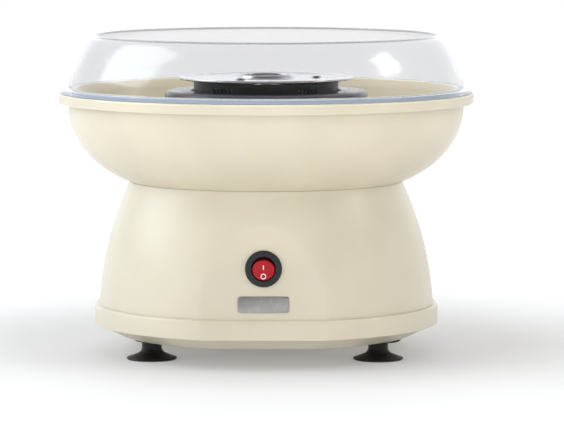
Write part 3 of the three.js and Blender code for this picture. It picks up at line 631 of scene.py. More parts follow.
@dataclass
class Profile:
    """An outline in radius and height, whose corners are rounded where they're given a fillet."""

    closed: bool = True
    corners: list[tuple[float, float, float]] = field(default_factory=list)
    fineness: float = 12.0

    def to(self, radius: float, height: float, fillet: float = 0.0) -> "Profile":
        """Adds a corner.

        Args:
            radius: its distance from the axis.
            height: its height.
            fillet: the radius that rounds it.

        Returns:
            This profile, so that calls chain.
        """
        self.corners.append((radius, height, fillet))
        return self

    def along(self, points: Iterable[tuple[float, float]]) -> "Profile":
        """Adds sharp points, such as those of a curve."""
        for radius, height in points:
            self.to(radius, height)
        return self

    def points(self) -> list[Vector]:
        """The outline with its fillets as arcs, in the XZ plane."""
        made: list[Vector] = []
        count = len(self.corners)
        for index, (radius, height, fillet) in enumerate(self.corners):
            here = Vector((radius, height))
            inner = self.closed or 0 < index < count - 1
            if fillet > 0 and inner:
                before = Vector(self.corners[index - 1][:2])
                after = Vector(self.corners[(index + 1) % count][:2])
                made.extend(self._arc(before, here, after, fillet))
            else:
                made.append(here)
        return [Vector((point.x, 0.0, point.y)) for point in made]

    def _arc(self, before: Vector, here: Vector, after: Vector, fillet: float) -> list[Vector]:
        """Points of the arc that rounds one corner.

        Args:
            before: the corner before it.
            here: the corner.
            after: the corner after it.
            fillet: the arc's radius.

        Returns:
            The arc's points.
        """
        towards, away = (before - here).normalized(), (after - here).normalized()
        opening = towards.angle(away)
        reach = fillet / math.tan(opening / 2)
        limit = 0.49 * min((before - here).length, (after - here).length)
        reach = min(reach, limit)
        radius = reach * math.tan(opening / 2)
        centre = here + (towards + away).normalized() * (radius / math.sin(opening / 2))
        start, end = here + towards * reach - centre, here + away * reach - centre
        turn = start.angle_signed(end)
        steps = max(2, math.ceil(abs(math.degrees(turn)) / self.fineness))
        return [centre + Matrix.Rotation(-turn * i / steps, 2) @ start for i in range(steps + 1)]


SHARP_ANGLE = math.radians(38)
MERGE_GAP = 1e-4
SLIVER = 1e-5


def round_edges(mesh: bmesh.types.BMesh, edges: Sequence[Any], radius: float,
                segments: int) -> None:
    """Rounds edges of a mesh, if the radius is above 0.

    Args:
        mesh: the mesh.
        edges: which of its edges.
        radius: how round they become.
        segments: facets across each.
    """
    if radius > 0:
        bmesh.ops.bevel(mesh, geom=edges, offset=radius, segments=segments, profile=0.5,
                        affect="EDGES", material=-1, offset_type="OFFSET", clamp_overlap=True)


class Solid:
    """A mesh under construction, in millimetres."""

    def __init__(self) -> None:
        """Starts an empty mesh."""
        self.mesh = bmesh.new()

    def turned(self, profile: Profile, steps: int = 128,
               sectors: Sequence[tuple[float, int]] | None = None, start: float = 0.0) -> "Solid":
        """Adds a shape turned round Z.

        Args:
            profile: the outline to turn.
            steps: facets round the full circle.
            sectors: angle and facets of each stretch of the circle, where they differ.
            start: the angle that the first stretch starts at.

        Returns:
            This solid.
        """
        points = profile.points()
        spun = bmesh.new()
        vertices = [spun.verts.new(point) for point in points]
        pairs = list(zip(vertices, vertices[1:]))
        if profile.closed:
            pairs.append((vertices[-1], vertices[0]))
        edges = [spun.edges.new(pair) for pair in pairs]
        bmesh.ops.rotate(spun, verts=vertices, matrix=Matrix.Rotation(start, 3, "Z"))
        last: list[Any] = [*vertices, *edges]
        for angle, count in sectors or [(FULL_TURN, steps)]:
            swept = bmesh.ops.spin(spun, geom=last, axis=(0, 0, 1), cent=(0, 0, 0), angle=angle,
                                   steps=count, use_merge=sectors is None, use_duplicate=False)
            last = swept["geom_last"]
        bmesh.ops.remove_doubles(spun, verts=spun.verts, dist=MERGE_GAP)
        bmesh.ops.dissolve_degenerate(spun, edges=spun.edges, dist=SLIVER)
        bmesh.ops.recalc_face_normals(spun, faces=spun.faces)
        return self.take(spun)

    def take(self, other: bmesh.types.BMesh) -> "Solid":
        """Adds another mesh's shape and frees it."""
        carrier = bpy.data.meshes.new("carrier")
        other.to_mesh(carrier)
        other.free()
        self.mesh.from_mesh(carrier)
        bpy.data.meshes.remove(carrier)
        return self

    def block(self, low: Sequence[float], high: Sequence[float], round_by: float = 0.0,
              segments: int = 3) -> "Solid":
        """Adds a box, with rounded edges if asked.

        Args:
            low: its lowest corner.
            high: its highest corner.
            round_by: radius of its edges.
            segments: facets across each rounded edge.

        Returns:
            This solid.
        """
        box = bmesh.new()
        bmesh.ops.create_cube(box, size=1.0)
        size = Vector(high) - Vector(low)
        bmesh.ops.scale(box, verts=box.verts, vec=size)
        bmesh.ops.translate(box, verts=box.verts, vec=(Vector(high) + Vector(low)) / 2)
        round_edges(box, box.edges[:], round_by, segments)
        return self.take(box)

    def plate(self, outline: Sequence[tuple[float, float]], low: float, high: float,
              round_by: float = 0.0, segments: int = 3) -> "Solid":
        """Adds a flat plate that stands on an outline.

        Args:
            outline: its corners in X and Y.
            low: height of its underside.
            high: height of its top.
            round_by: radius of its top edge.
            segments: facets across that edge.

        Returns:
            This solid.
        """
        slab = bmesh.new()
        base = slab.faces.new([slab.verts.new((x, y, low)) for x, y in outline])
        bmesh.ops.recalc_face_normals(slab, faces=slab.faces)
        top = bmesh.ops.extrude_face_region(slab, geom=[base], use_keep_orig=True)["geom"]
        moved = [item for item in top if isinstance(item, bmesh.types.BMVert)]
        bmesh.ops.translate(slab, verts=moved, vec=(0, 0, high - low))
        rim = [edge for edge in slab.edges if all(v.co.z > high - MERGE_GAP for v in edge.verts)]
        round_edges(slab, rim, round_by, segments)
        bmesh.ops.recalc_face_normals(slab, faces=slab.faces)
        return self.take(slab)

    def moved(self, matrix: Matrix) -> "Solid":
        """Moves everything so far."""
        bmesh.ops.transform(self.mesh, matrix=matrix, verts=self.mesh.verts)
        return self

    def at(self, x: float, y: float, z: float = 0.0, turn: float = 0.0) -> "Solid":
        """Turns everything so far about Z, then shifts it."""
        return self.moved(Matrix.Translation((x, y, z)) @ Matrix.Rotation(turn, 4, "Z"))

    def shaped(self, change: Callable[[Vector], Vector]) -> "Solid":
        """Moves each vertex by a rule."""
        for vertex in self.mesh.verts:
            vertex.co = change(vertex.co)
        return self

    def cut_by(self, *tools: "Solid") -> "Solid":
        """Cuts other solids out of this one.

        Args:
            tools: the solids to cut away.

        Returns:
            This solid.
        """
        whole = self.object("cut_whole")
        cutter = Solid()
        for tool in tools:
            cutter.take(tool.mesh)
        knife = cutter.object("cut_knife")
        modifier = whole.modifiers.new("cut", "BOOLEAN")
        modifier.operation = "DIFFERENCE"
        modifier.solver = "EXACT"
        modifier.object = knife
        bpy.context.view_layer.update()
        evaluated = whole.evaluated_get(bpy.context.evaluated_depsgraph_get())
        self.mesh = bmesh.new()
        self.mesh.from_mesh(evaluated.to_mesh())
        evaluated.to_mesh_clear()
        for thing in (whole, knife):
            data = thing.data
            bpy.data.objects.remove(thing)
            bpy.data.meshes.remove(data)
        bmesh.ops.remove_doubles(self.mesh, verts=self.mesh.verts, dist=MERGE_GAP)
        return self

    def object(self, name: str) -> bpy.types.Object:
        """Turns this solid into a linked object of that name, still in millimetres."""
        mesh = bpy.data.meshes.new(name)
        self.mesh.to_mesh(mesh)
        self.mesh.free()
        made = bpy.data.objects.new(name, mesh)
        bpy.context.scene.collection.objects.link(made)
        return made


def add_piece(name: str, solid: Solid, finish: Finish, body: Body, *replaced: str,
              sharp: float = SHARP_ANGLE) -> bpy.types.Object:
    """Makes a finished piece of a solid: smooth-shaded, in metres, and riding on its body.

    Args:
        name: the piece's name.
        solid: its shape.
        finish: its finish.
        body: the body that it rides on.
        replaced: the frame's nodes that it stands for.
        sharp: edges that turn more than this angle stay sharp.

    Returns:
        The piece.
    """
    mesh = solid.mesh
    bmesh.ops.scale(mesh, verts=mesh.verts, vec=(MM, MM, MM))
    for face in mesh.faces:
        face.smooth = True
    for edge in mesh.edges:
        edge.smooth = edge.is_manifold and edge.calc_face_angle(0.0) < sharp
    piece = solid.object(name)
    piece.data.materials.append(finish.material())
    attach(piece, body.value)
    if replaced:
        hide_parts(*replaced)
    log.info("%s: %d faces on %s", name, len(piece.data.polygons), body.value)
    return piece


def round_the_circle(count: int, start: float = 0.0) -> list[float]:
    """Evenly spaced angles.

    Args:
        count: how many.
        start: the first, in radians.

    Returns:
        The angles, in radians.
    """
    return [start + FULL_TURN * i / count for i in range(count)]


def polar(radius: float, angle: float) -> tuple[float, float]:
    """X and Y of a point at a radius and an angle."""
    return radius * math.cos(angle), radius * math.sin(angle)


def smooth_least(first: float, second: float, blend: float) -> float:
    """The smaller of two numbers, with the crease between them rounded over a distance."""
    overlap = max(blend - abs(first - second), 0.0) / blend
    return min(first, second) - overlap * overlap * blend / 4


def rod(radius: float, low: float, high: float, fillet: float = 0.0, steps: int = 32) -> Solid:
    """An upright rod, with its end edges rounded by the fillet."""
    profile = Profile(closed=False).to(0, low).to(radius, low, fillet)
    return Solid().turned(profile.to(radius, high, fillet).to(0, high), steps)


def ring(inner: float, outer: float, low: float, high: float, fillet: float = 0.0,
         steps: int = 48) -> Solid:
    """An upright ring with rounded edges."""
    profile = Profile().to(inner, low, fillet).to(outer, low, fillet)
    return Solid().turned(profile.to(outer, high, fillet).to(inner, high, fillet), steps)


# ------------------------------------------------------------------------------------------------
# The front facet, which the switch and the badge sit on
# ------------------------------------------------------------------------------------------------


@dataclass(frozen=True)
class Facet:
    """The flat front of the base: a plane that leans back, with its own frame.

    In that frame X runs across, Y up the facet and Z straight out of it.
    """

    front: float = 106.3
    height: float = 30.5
    slope: float = 0.078

    def distance(self, z: float) -> float:
        """Distance of the facet from the axis at a height."""
        return self.front - self.slope * (z - self.height)

    def frame(self, z: float) -> Matrix:
        """The facet's frame at a height."""
        upright = Matrix.Rotation(math.pi / 2 - math.atan(self.slope), 4, "X")
        return Matrix.Translation((0, -self.distance(z), z)) @ upright


FACET = Facet()
TURRET_SCREW_RING = 58.0


@dataclass(frozen=True)
class Screw:
    """A cross-head screw, upright with its head on top."""

    head: float
    head_height: float
    shank: float
    length: float

    def solid(self, top: float, x: float, y: float, flip: bool = False) -> Solid:
        """Builds the screw.

        Args:
            top: height of its head's outer face.
            x: where it stands.
            y: where it stands.
            flip: True if the head faces down.

        Returns:
            The screw.
        """
        crown = self.head * 0.72
        tip = -self.head_height - self.length
        profile = Profile(closed=False, fineness=18).to(0, 0).to(crown, 0, 0.8)
        profile.to(self.head, -self.head_height * 0.55, 0.4).to(self.head, -self.head_height)
        profile.to(self.shank, -self.head_height).to(self.shank, tip + 1).to(self.shank * 0.4, tip)
        body = Solid().turned(profile.to(0, tip), 28)
        arm, slot, depth = self.head * 0.52, self.head * 0.11, self.head_height * 0.6
        cross = Solid().block((-arm, -slot, -depth), (arm, slot, 1))
        other = Solid().block((-slot, -arm, -depth), (slot, arm, 1))
        body.cut_by(cross).cut_by(other)
        if flip:
            body.moved(Matrix.Rotation(math.pi, 4, "X"))
        return body.at(x, y, top)


# ------------------------------------------------------------------------------------------------
# Base: housing, cover, feet, cord gland
# ------------------------------------------------------------------------------------------------


@dataclass
class Base:
    """The moulded base that holds the switch, badge, cord gland and feet."""

    wall: float = 2.5
    skirt_front: float = 109.3
    skirt_height: float = 10.1
    shoulder: float = 3.2
    side_foot: float = 34.0
    side_foot_radius: float = 113.6
    side_top: float = 116.0
    narrowing: float = 20.6
    curve: float = 1.77
    deck_top: float = 110.3
    neck_bore: float = 90.6
    motor_hole: float = 24.0
    neck_clearance: float = 0.1
    crease: float = 0.45
    cover_front_bottom: float = 94.0
    cover_bottom_radius: float = 100.1
    vents: int = 7
    vent_pitch: float = 9.0
    vent_width: float = 3.0
    vent_length: float = 44.0
    screw_radius: float = 86.0
    screw_angles: tuple[float, ...] = (65.0, 115.0, 245.0, 295.0)
    gland_height: float = 44.0
    gland_hole: float = 6.6
    gland_seat: float = 10.4
    switch_hole: float = 10.2
    switch_rise: float = 0.3
    turret_screw_hole: float = 2.0
    badge_gap: float = 0.3
    badge_corner: float = 1.6
    foot_hole: float = 3.3
    screw_recess: float = 3.9
    front_sector: float = math.radians(84)

    def __post_init__(self) -> None:
        """Measures the frame's base."""
        self.housing = Extent.of("base_housing")
        self.cover = Extent.of("bottom_cover")
        self.feet = {end: Extent.of(f"foot_{end}") for end in
                     ("front_left", "front_right", "rear_left", "rear_right")}
        self.badge = Extent.of("badge")

    def side_radius(self, z: float) -> float:
        """Radius of the base's flowing side at a height."""
        climb = (z - self.side_foot) / (self.side_top - self.side_foot)
        return self.side_foot_radius - self.narrowing * max(climb, 0.0) ** self.curve

    def front_distance(self, z: float) -> float:
        """Distance of the front from the axis at a height, with the skirt's round shoulder."""
        skirt_top = self.housing.low.z + self.skirt_height
        rise = (z - skirt_top) / self.shoulder
        if rise >= 1:
            return FACET.distance(z)
        drop = self.shoulder * (1 - math.sqrt(1 - max(rise, 0.0) ** 2))
        return self.skirt_front - drop

    def outer_radius(self, z: float) -> float:
        """Radius of the housing's outside at a height."""
        return self.housing.radius if z < self.side_foot - 1 else self.side_radius(z)

    def flatten(self, point: Vector) -> Vector:
        """Presses a point of the turned housing back to the flat front."""
        radius = math.hypot(point.x, point.y)
        inset = self.wall if radius < self.outer_radius(point.z) - self.wall / 2 else 0.0
        limit = self.front_distance(point.z) - inset
        return Vector((point.x, -smooth_least(-point.y, limit, self.crease), point.z))

    def neck_height(self, radius: float) -> float:
        """Height of the neck's edge at a radius, just under the bowl that it holds."""
        bowl = Bowl()
        across = (radius - bowl.centre_radius) / bowl.half_width
        outside = bowl.centre_height - bowl.half_height * math.sqrt(1 - across ** 2)
        return outside - self.neck_clearance

    def turned_flat(self, profile: Profile, press: Callable[[Vector], Vector]) -> Solid:
        """Turns a shape with fine steps across the front, coarser ones round the rest.

        Args:
            profile: the outline to turn.
            press: the rule that flattens its front.

        Returns:
            The shape with its front pressed flat.
        """
        sectors = [(self.front_sector, 112), (FULL_TURN - self.front_sector, 120)]
        start = -math.pi / 2 - self.front_sector / 2
        return Solid().turned(profile, sectors=sectors, start=start).shaped(press)

    def side_points(self, inset: float, low: float, high: float,
                    steps: int) -> list[tuple[float, float]]:
        """Points of the flowing side.

        Args:
            inset: distance inside the outer face.
            low: height of the first point.
            high: height of the last.
            steps: how many stretches.

        Returns:
            Radius and height of each point.
        """
        heights = [low + (high - low) * i / steps for i in range(steps + 1)]
        return [(self.side_radius(z) - inset, z) for z in heights]

    def gland_frame(self) -> Matrix:
        """The frame of the cord gland, whose Z points out of the rear wall."""
        place = Matrix.Translation((0, self.side_radius(self.gland_height), self.gland_height))
        return place @ Matrix.Rotation(-math.pi / 2, 4, "X")

    def badge_solid(self, grow: float, low: float, high: float, round_by: float = 0.0) -> Solid:
        """A plate of the badge's outline, on the facet.

        Args:
            grow: how far it reaches past the badge on each side.
            low: its underside, out from the facet.
            high: its top.
            round_by: radius of its top edge.

        Returns:
            The plate.
        """
        half = self.badge.radius + grow
        tall = (self.badge.high.z - self.badge.low.z) / 2 + grow - 0.1
        corner = self.badge_corner + grow
        outline = []
        for index, (across, up) in enumerate(((1, -1), (1, 1), (-1, 1), (-1, -1))):
            for step in range(7):
                angle = math.pi / 2 * (index - 1 + step / 6)
                x, y = polar(corner, angle)
                outline.append((across * (half - corner) + x, up * (tall - corner) + y))
        plate = Solid().plate(outline, low, high, round_by)
        return plate.moved(FACET.frame(self.badge.centre.z))

    def build_housing(self) -> None:
        """Builds the cream housing with its switch hole, badge seat and gland seat."""
        low, radius = self.housing.low.z, self.housing.radius
        skirt_top = low + self.skirt_height + self.shoulder
        deck_bottom = self.deck_top - self.wall
        profile = Profile(fineness=9).to(radius - self.wall, low).to(radius, low, 0.5)
        profile.along((radius, low + step) for step in (3, 6, 9))
        profile.to(radius, skirt_top, self.shoulder)
        profile.to(self.side_foot_radius + 0.15, skirt_top, 0.25)
        profile.along(self.side_points(0, self.side_foot, self.side_top - 1, 44))
        neck = self.side_radius(self.side_top)
        profile.to(neck, self.neck_height(neck), 0.2)
        profile.along((r, self.neck_height(r)) for r in (neck - 0.8, neck - 1.6, self.neck_bore))
        profile.to(self.neck_bore, self.deck_top, 0.8).to(self.motor_hole, self.deck_top, 0.5)
        profile.to(self.motor_hole, deck_bottom, 0.5)
        profile.to(self.side_radius(deck_bottom) - self.wall, deck_bottom, 1.2)
        profile.along(reversed(self.side_points(self.wall, self.side_foot, deck_bottom - 2, 24)))
        shell = self.turned_flat(profile, self.flatten)
        switch = Extent.of("switch_housing")
        place = FACET.frame(switch.centre.z + self.switch_rise)
        barrel = rod(self.switch_hole, -12, 12, steps=64).moved(place)
        seat = self.badge_solid(self.badge_gap, -0.8, 5)
        gland = rod(self.gland_hole, -12, 12, steps=48).moved(self.gland_frame())
        gland_seat = rod(self.gland_seat, -1.2, 12, steps=64).moved(self.gland_frame())
        shell.cut_by(barrel).cut_by(seat).cut_by(gland_seat).cut_by(gland)
        for angle in round_the_circle(3, math.pi / 2):
            hole = rod(self.turret_screw_hole, deck_bottom - 5, self.deck_top + 5, steps=20)
            shell.cut_by(hole.at(*polar(TURRET_SCREW_RING, angle)))
        for angle in self.screw_angles:
            shell.take(self.screw_pillar().at(*polar(self.screw_radius, math.radians(angle))).mesh)
        add_piece("housing_shell", shell, CREAM, Body.BASE, "base_housing")

    def screw_pillar(self) -> Solid:
        """A hollow pillar that hangs from the shelf and takes a cover screw."""
        top = self.deck_top - self.wall + 0.3
        profile = Profile().to(1.9, 21).to(4.6, 21, 0.4).to(4.6, top).to(1.9, top)
        return Solid().turned(profile, 28)

    def cover_front(self, z: float) -> float:
        """Distance of the cover's front from the axis at a height."""
        rise = (self.skirt_front - self.cover_front_bottom) / (self.cover.high.z - self.cover.low.z)
        slope = self.cover_front_bottom + rise * (z - self.cover.low.z)
        return min(slope, self.skirt_front - 0.3)

    def press_cover(self, point: Vector) -> Vector:
        """Presses a point of the turned cover back to the sloping front."""
        low, high = self.cover.low.z, self.cover.high.z
        radius = math.hypot(point.x, point.y)
        share = min(max((point.z - low) / (high - low), 0.0), 1.0)
        outside = self.cover_bottom_radius + share * (self.cover.radius - self.cover_bottom_radius)
        inner = radius < outside - 1.6 and point.z > low + 1
        limit = self.cover_front(point.z) - (self.wall if inner else 0.0)
        return Vector((point.x, -smooth_least(-point.y, limit, 1.2), point.z))

    def build_cover(self) -> None:
        """Builds the cover under the base, with its vents and holes."""
        low, high, radius = self.cover.low.z, self.cover.high.z, self.cover.radius
        inner = low + self.wall
        profile = Profile(closed=False, fineness=10).to(0, low).to(30, low).to(60, low)
        profile.to(80, low).to(self.cover_bottom_radius, low, 1.5)
        slope = [(self.cover_bottom_radius + (radius - self.cover_bottom_radius) * i / 8,
                  low + (high - 0.6 - low) * i / 8) for i in range(1, 8)]
        profile.along(slope).to(radius, high - 0.6, 0.4).to(radius, high, 0.2)
        profile.to(radius - self.wall, high).to(self.cover_bottom_radius - 1.2, inner, 1.0)
        dish = self.turned_flat(profile.to(0, inner), self.press_cover)
        for index in range(self.vents):
            x = (index - (self.vents - 1) / 2) * self.vent_pitch
            half, reach = self.vent_width / 2, self.vent_length / 2
            slot = Solid().block((x - half, -reach, low - 3), (x + half, reach, inner + 3))
            dish.cut_by(slot)
        for foot in self.feet.values():
            dish.cut_by(rod(self.foot_hole, low - 4, high, steps=24).at(foot.centre.x, foot.centre.y))
        for angle in self.screw_angles:
            place = polar(self.screw_radius, math.radians(angle))
            dish.cut_by(rod(self.screw_recess, low - 4, high + 4, steps=28).at(*place))
            sleeve = Profile().to(2, 16).to(self.screw_recess, 16)
            sleeve.to(self.screw_recess, low + 0.2, 0.3).to(5.4, low + 0.2)
            dish.take(Solid().turned(sleeve.to(5.4, high + 0.6, 0.4).to(2, high + 0.6), 28)
                      .at(*place).mesh)
        add_piece("cover_dish", dish, CREAM, Body.BASE, "bottom_cover")

    def build_feet(self) -> None:
        """Builds the suction feet and the screws between them."""
        for end, extent in self.feet.items():
            rim, top = extent.radius, self.cover.low.z - 0.3
            profile = Profile(closed=False, fineness=8).to(0, 2.4).to(8, 1.9, 3).to(12.6, 0.15, 2)
            profile.to(rim - 0.9, 0.0, 0.3).to(rim, 0.7, 0.5).to(rim - 0.3, 1.5, 0.4)
            profile.to(14.2, 2.3, 3).to(8.4, 4.6, 4).to(6.7, 7.0, 2.5).to(6.7, top, 0.5)
            profile.to(3, top).to(3, self.cover.low.z + 2.9).to(4.6, self.cover.low.z + 2.9, 0.3)
            cup = Solid().turned(profile.to(3.2, extent.high.z, 0.8).to(0, extent.high.z), 72)
            cup.at(extent.centre.x, extent.centre.y)
            add_piece(f"suction_foot_{end}", cup, RUBBER, Body.BASE, f"foot_{end}")
        screw = Screw(3.5, 2, 1.6, 13.5)
        for index, angle in enumerate(self.screw_angles, 1):
            x, y = polar(self.screw_radius, math.radians(angle))
            solid = screw.solid(Extent.of(f"cover_screw_{index}").low.z, x, y, flip=True)
            add_piece(f"cover_fixing_{index}", solid, ZINC, Body.BASE, f"cover_screw_{index}")

    def build_badge_and_gland(self) -> None:
        """Builds the blank badge and the gland that the cord comes through."""
        plate = self.badge_solid(0, -0.5, 0.5, 0.18)
        add_piece("blank_badge", plate, BADGE_METAL, Body.BASE, "badge")
        profile = Profile(fineness=8).to(4, -9.5, 0.4).to(6.3, -9.5, 0.4).to(6.3, -0.9)
        profile.to(9.4, -0.9, 0.3).to(9.4, 0.9, 0.7).to(7.1, 3.4, 1.4).to(4, 4.2, 0.6)
        gland = Solid().turned(profile, 56).moved(self.gland_frame())
        add_piece("cord_bushing", gland, BLACK, Body.BASE, "cord_gland")

    def build(self) -> None:
        """Builds the whole base."""
        self.build_housing()
        self.build_cover()
        self.build_feet()
        self.build_badge_and_gland()


@dataclass
class RockerSwitch:
    """The round on-off switch in the front."""

    bezel: float = 12.1
    well: float = 8.0
    proud: float = 2.3
    barrel: float = 9.9
    depth: float = 15.0
    pivot_depth: float = 5.0
    tilt: float = math.radians(10)
    half: float = 6.8
    half_width: float = 7.4
    centre_height: float = 66.6

    def build_housing(self) -> None:
        """Builds the bezel and barrel with their rocker well."""
        pivot = self.proud - self.pivot_depth
        profile = Profile(closed=False, fineness=7).to(0, pivot - 4).to(self.well, pivot - 4, 0.4)
        profile.to(self.well, self.proud, 0.5).to(self.bezel, self.proud, 1.3)
        profile.to(self.bezel, 0.3, 0.15).to(self.barrel, 0.3).to(self.barrel, -self.depth, 0.6)
        body = Solid().turned(profile.to(0, -self.depth), 96)
        for side in (-1, 1):
            clip = Solid().block((side * 9.75 - 1.25, -2, -9), (side * 9.75 + 1.25, 2, -3.4), 0.3)
            body.take(clip.mesh)
        body.moved(FACET.frame(self.centre_height))
        add_piece("switch_body", body, BLACK, Body.BASE, "switch_housing")

    def raise_ends(self, point: Vector) -> Vector:
        """Lifts a point of the rocker's top towards its ends, so that its faces meet in a V."""
        share = min(max((point.z + 1) / (self.pivot_depth + 1), 0.0), 1.1)
        lift = (math.sqrt(point.y ** 2 + 0.16) - 0.4) * math.tan(self.tilt)
        return Vector((point.x, point.y, point.z + lift * share))

    def rocker_frame(self) -> Matrix:
        """The rocker's frame, tipped to off."""
        pivot = Matrix.Translation((0, 0, self.proud - self.pivot_depth))
        return FACET.frame(self.centre_height) @ pivot @ Matrix.Rotation(self.tilt, 4, "X")

    def build_rocker(self) -> None:
        """Builds the red rocker, its pin and its raised on and off marks."""
        crown, width = self.pivot_depth, self.half_width
        profile = Profile(closed=False, fineness=10).to(0, crown)
        profile.along((width * share, crown) for share in (0.12, 0.25, 0.4, 0.55, 0.7))
        profile.to(width, crown, 1.0).to(width, -2.4, 0.6).to(0, -2.4)
        paddle = Solid().turned(profile, 72)
        paddle.shaped(lambda p: Vector((p.x, p.y * self.half / width, p.z))).shaped(self.raise_ends)
        pin = rod(1.0, -9.1, 9.1, 0.2, 20).moved(Matrix.Rotation(math.pi / 2, 4, "Y"))
        paddle.take(pin.mesh).moved(self.rocker_frame())
        add_piece("rocker_paddle", paddle, RED, Body.ROCKER, "switch_rocker")
        bar = Solid().block((-0.35, 0.5, crown - 0.3), (0.35, 3.4, crown + 0.06), 0.05, 1)
        circle = ring(1.25, 1.85, crown - 0.3, crown + 0.06, 0.05).at(0, -4.0)
        for name, mark in (("mark_on", bar), ("mark_off", circle)):
            mark.shaped(self.raise_ends).moved(self.rocker_frame())
            add_piece(name, mark, INK, Body.ROCKER)

    def build_terminals(self) -> None:
        """Builds the two push-on terminals behind the switch."""
        for index, side in enumerate((-1, 1), 1):
            low, high = -self.depth - 10, -self.depth - 0.3
            blade = Solid().block((-3.1, -0.4, low), (3.1, 0.4, high), 0.15, 2)
            eye = rod(0.9, -3, 3, steps=20).moved(Matrix.Rotation(math.pi / 2, 4, "X"))
            blade.cut_by(eye.at(0, 0, -self.depth - 6)).at(0, side * 4.0)
            blade.moved(FACET.frame(self.centre_height))
            add_piece(f"push_on_tab_{index}", blade, BRASS, Body.BASE, f"switch_terminal_{index}")

    def build(self) -> None:
        """Builds the whole switch."""
        self.build_housing()
        self.build_rocker()
        self.build_terminals()


# ------------------------------------------------------------------------------------------------
# Bowl, guard
# ------------------------------------------------------------------------------------------------


@dataclass
class Bowl:
    """The lift-off bowl, whose section is a quarter of an ellipse round a chimney."""

    wall: float = 2.6
    centre_radius: float = 60.0
    centre_height: float = 168.0
    half_width: float = 74.4
    half_height: float = 57.4
    rim_top: float = 176.6
    rim_bottom: float = 169.8
    upstand: float = 131.9
    chimney: float = 71.0
    chimney_top: float = 168.6

    def curve(self, inset: float, first: float, last: float,
              steps: int) -> list[tuple[float, float]]:
        """Points of the elliptical section.

        Args:
            inset: distance inside the outer face.
            first: angle below the rim of the first point, in degrees.
            last: angle of the last.
            steps: how many stretches.

        Returns:
            Radius and height of each point.
        """
        angles = [math.radians(first + (last - first) * i / steps) for i in range(steps + 1)]
        return [(self.centre_radius + (self.half_width - inset) * math.cos(a),
                 self.centre_height - (self.half_height - inset) * math.sin(a)) for a in angles]

    def build(self) -> None:
        """Builds the bowl with its rolled rim and upstand."""
        extent = Extent.of("bowl")
        low, rim = extent.low.z, extent.radius
        side = self.centre_radius + self.half_width
        profile = Profile(fineness=9).to(self.chimney, low, 0.4).to(self.chimney + 4, low)
        profile.along(self.curve(0, 76, 2, 40)).to(side, self.rim_top - 3, 0.8)
        profile.to(rim - 2.2, self.rim_top - 3, 0.5).to(rim - 2.2, self.rim_bottom, 0.4)
        profile.to(rim, self.rim_bottom, 0.5).to(rim, self.rim_top, 1.2)
        profile.to(self.upstand, self.rim_top, 0.5).to(self.upstand, extent.high.z, 0.9)
        inside = self.upstand - 2.2
        profile.to(inside, extent.high.z, 0.9).to(inside, self.rim_top - 2.6, 2)
        profile.along(self.curve(self.wall, 4, 76, 36)).to(self.chimney + self.wall, 115.2, 4)
        profile.to(self.chimney + self.wall, self.chimney_top, 1.25)
        profile.to(self.chimney, self.chimney_top, 1.25)
        add_piece("floss_bowl", Solid().turned(profile, 200), CREAM, Body.BOWL, "bowl")


@dataclass
class RimGuard:
    """The clear guard that stands on the bowl's rim and leans in over it."""

    wall: float = 2.2
    foot: float = 134.6
    flange_top: float = 179.6
    mouth: float = 115.4
    waist: tuple[tuple[float, float, float], ...] = (
        (133.4, 188.3, 30.0), (131.0, 195.2, 30.0), (127.8, 203.5, 30.0), (124.3, 209.8, 12.0),
        (121.8, 213.4, 5.0))

    def build(self) -> None:
        """Builds the guard as one clear shell."""
        extent = Extent.of("guard")
        low, flange, top = extent.low.z, extent.radius, extent.high.z
        profile = Profile(fineness=5).to(self.foot - self.wall, low, 0.3).to(flange, low, 0.4)
        profile.to(flange, self.flange_top, 0.9).to(self.foot + 0.2, self.flange_top, 1.0)
        for corner in self.waist:
            profile.to(*corner)
        profile.to(118.2, top - 0.1, 3.0).to(self.mouth, top - 0.1, 0.5)
        profile.to(self.mouth, top - 1.2, 0.5).to(117.6, top - self.wall - 0.3, 3.0)
        for radius, height, fillet in reversed(self.waist):
            profile.to(radius - self.wall, height - 1.3, fillet)
        solid = Solid().turned(profile, 240)
        add_piece("clear_rim_guard", solid, CLEAR, Body.GUARD, "guard", sharp=math.radians(60))


# ------------------------------------------------------------------------------------------------
# Heater and its turret
# ------------------------------------------------------------------------------------------------


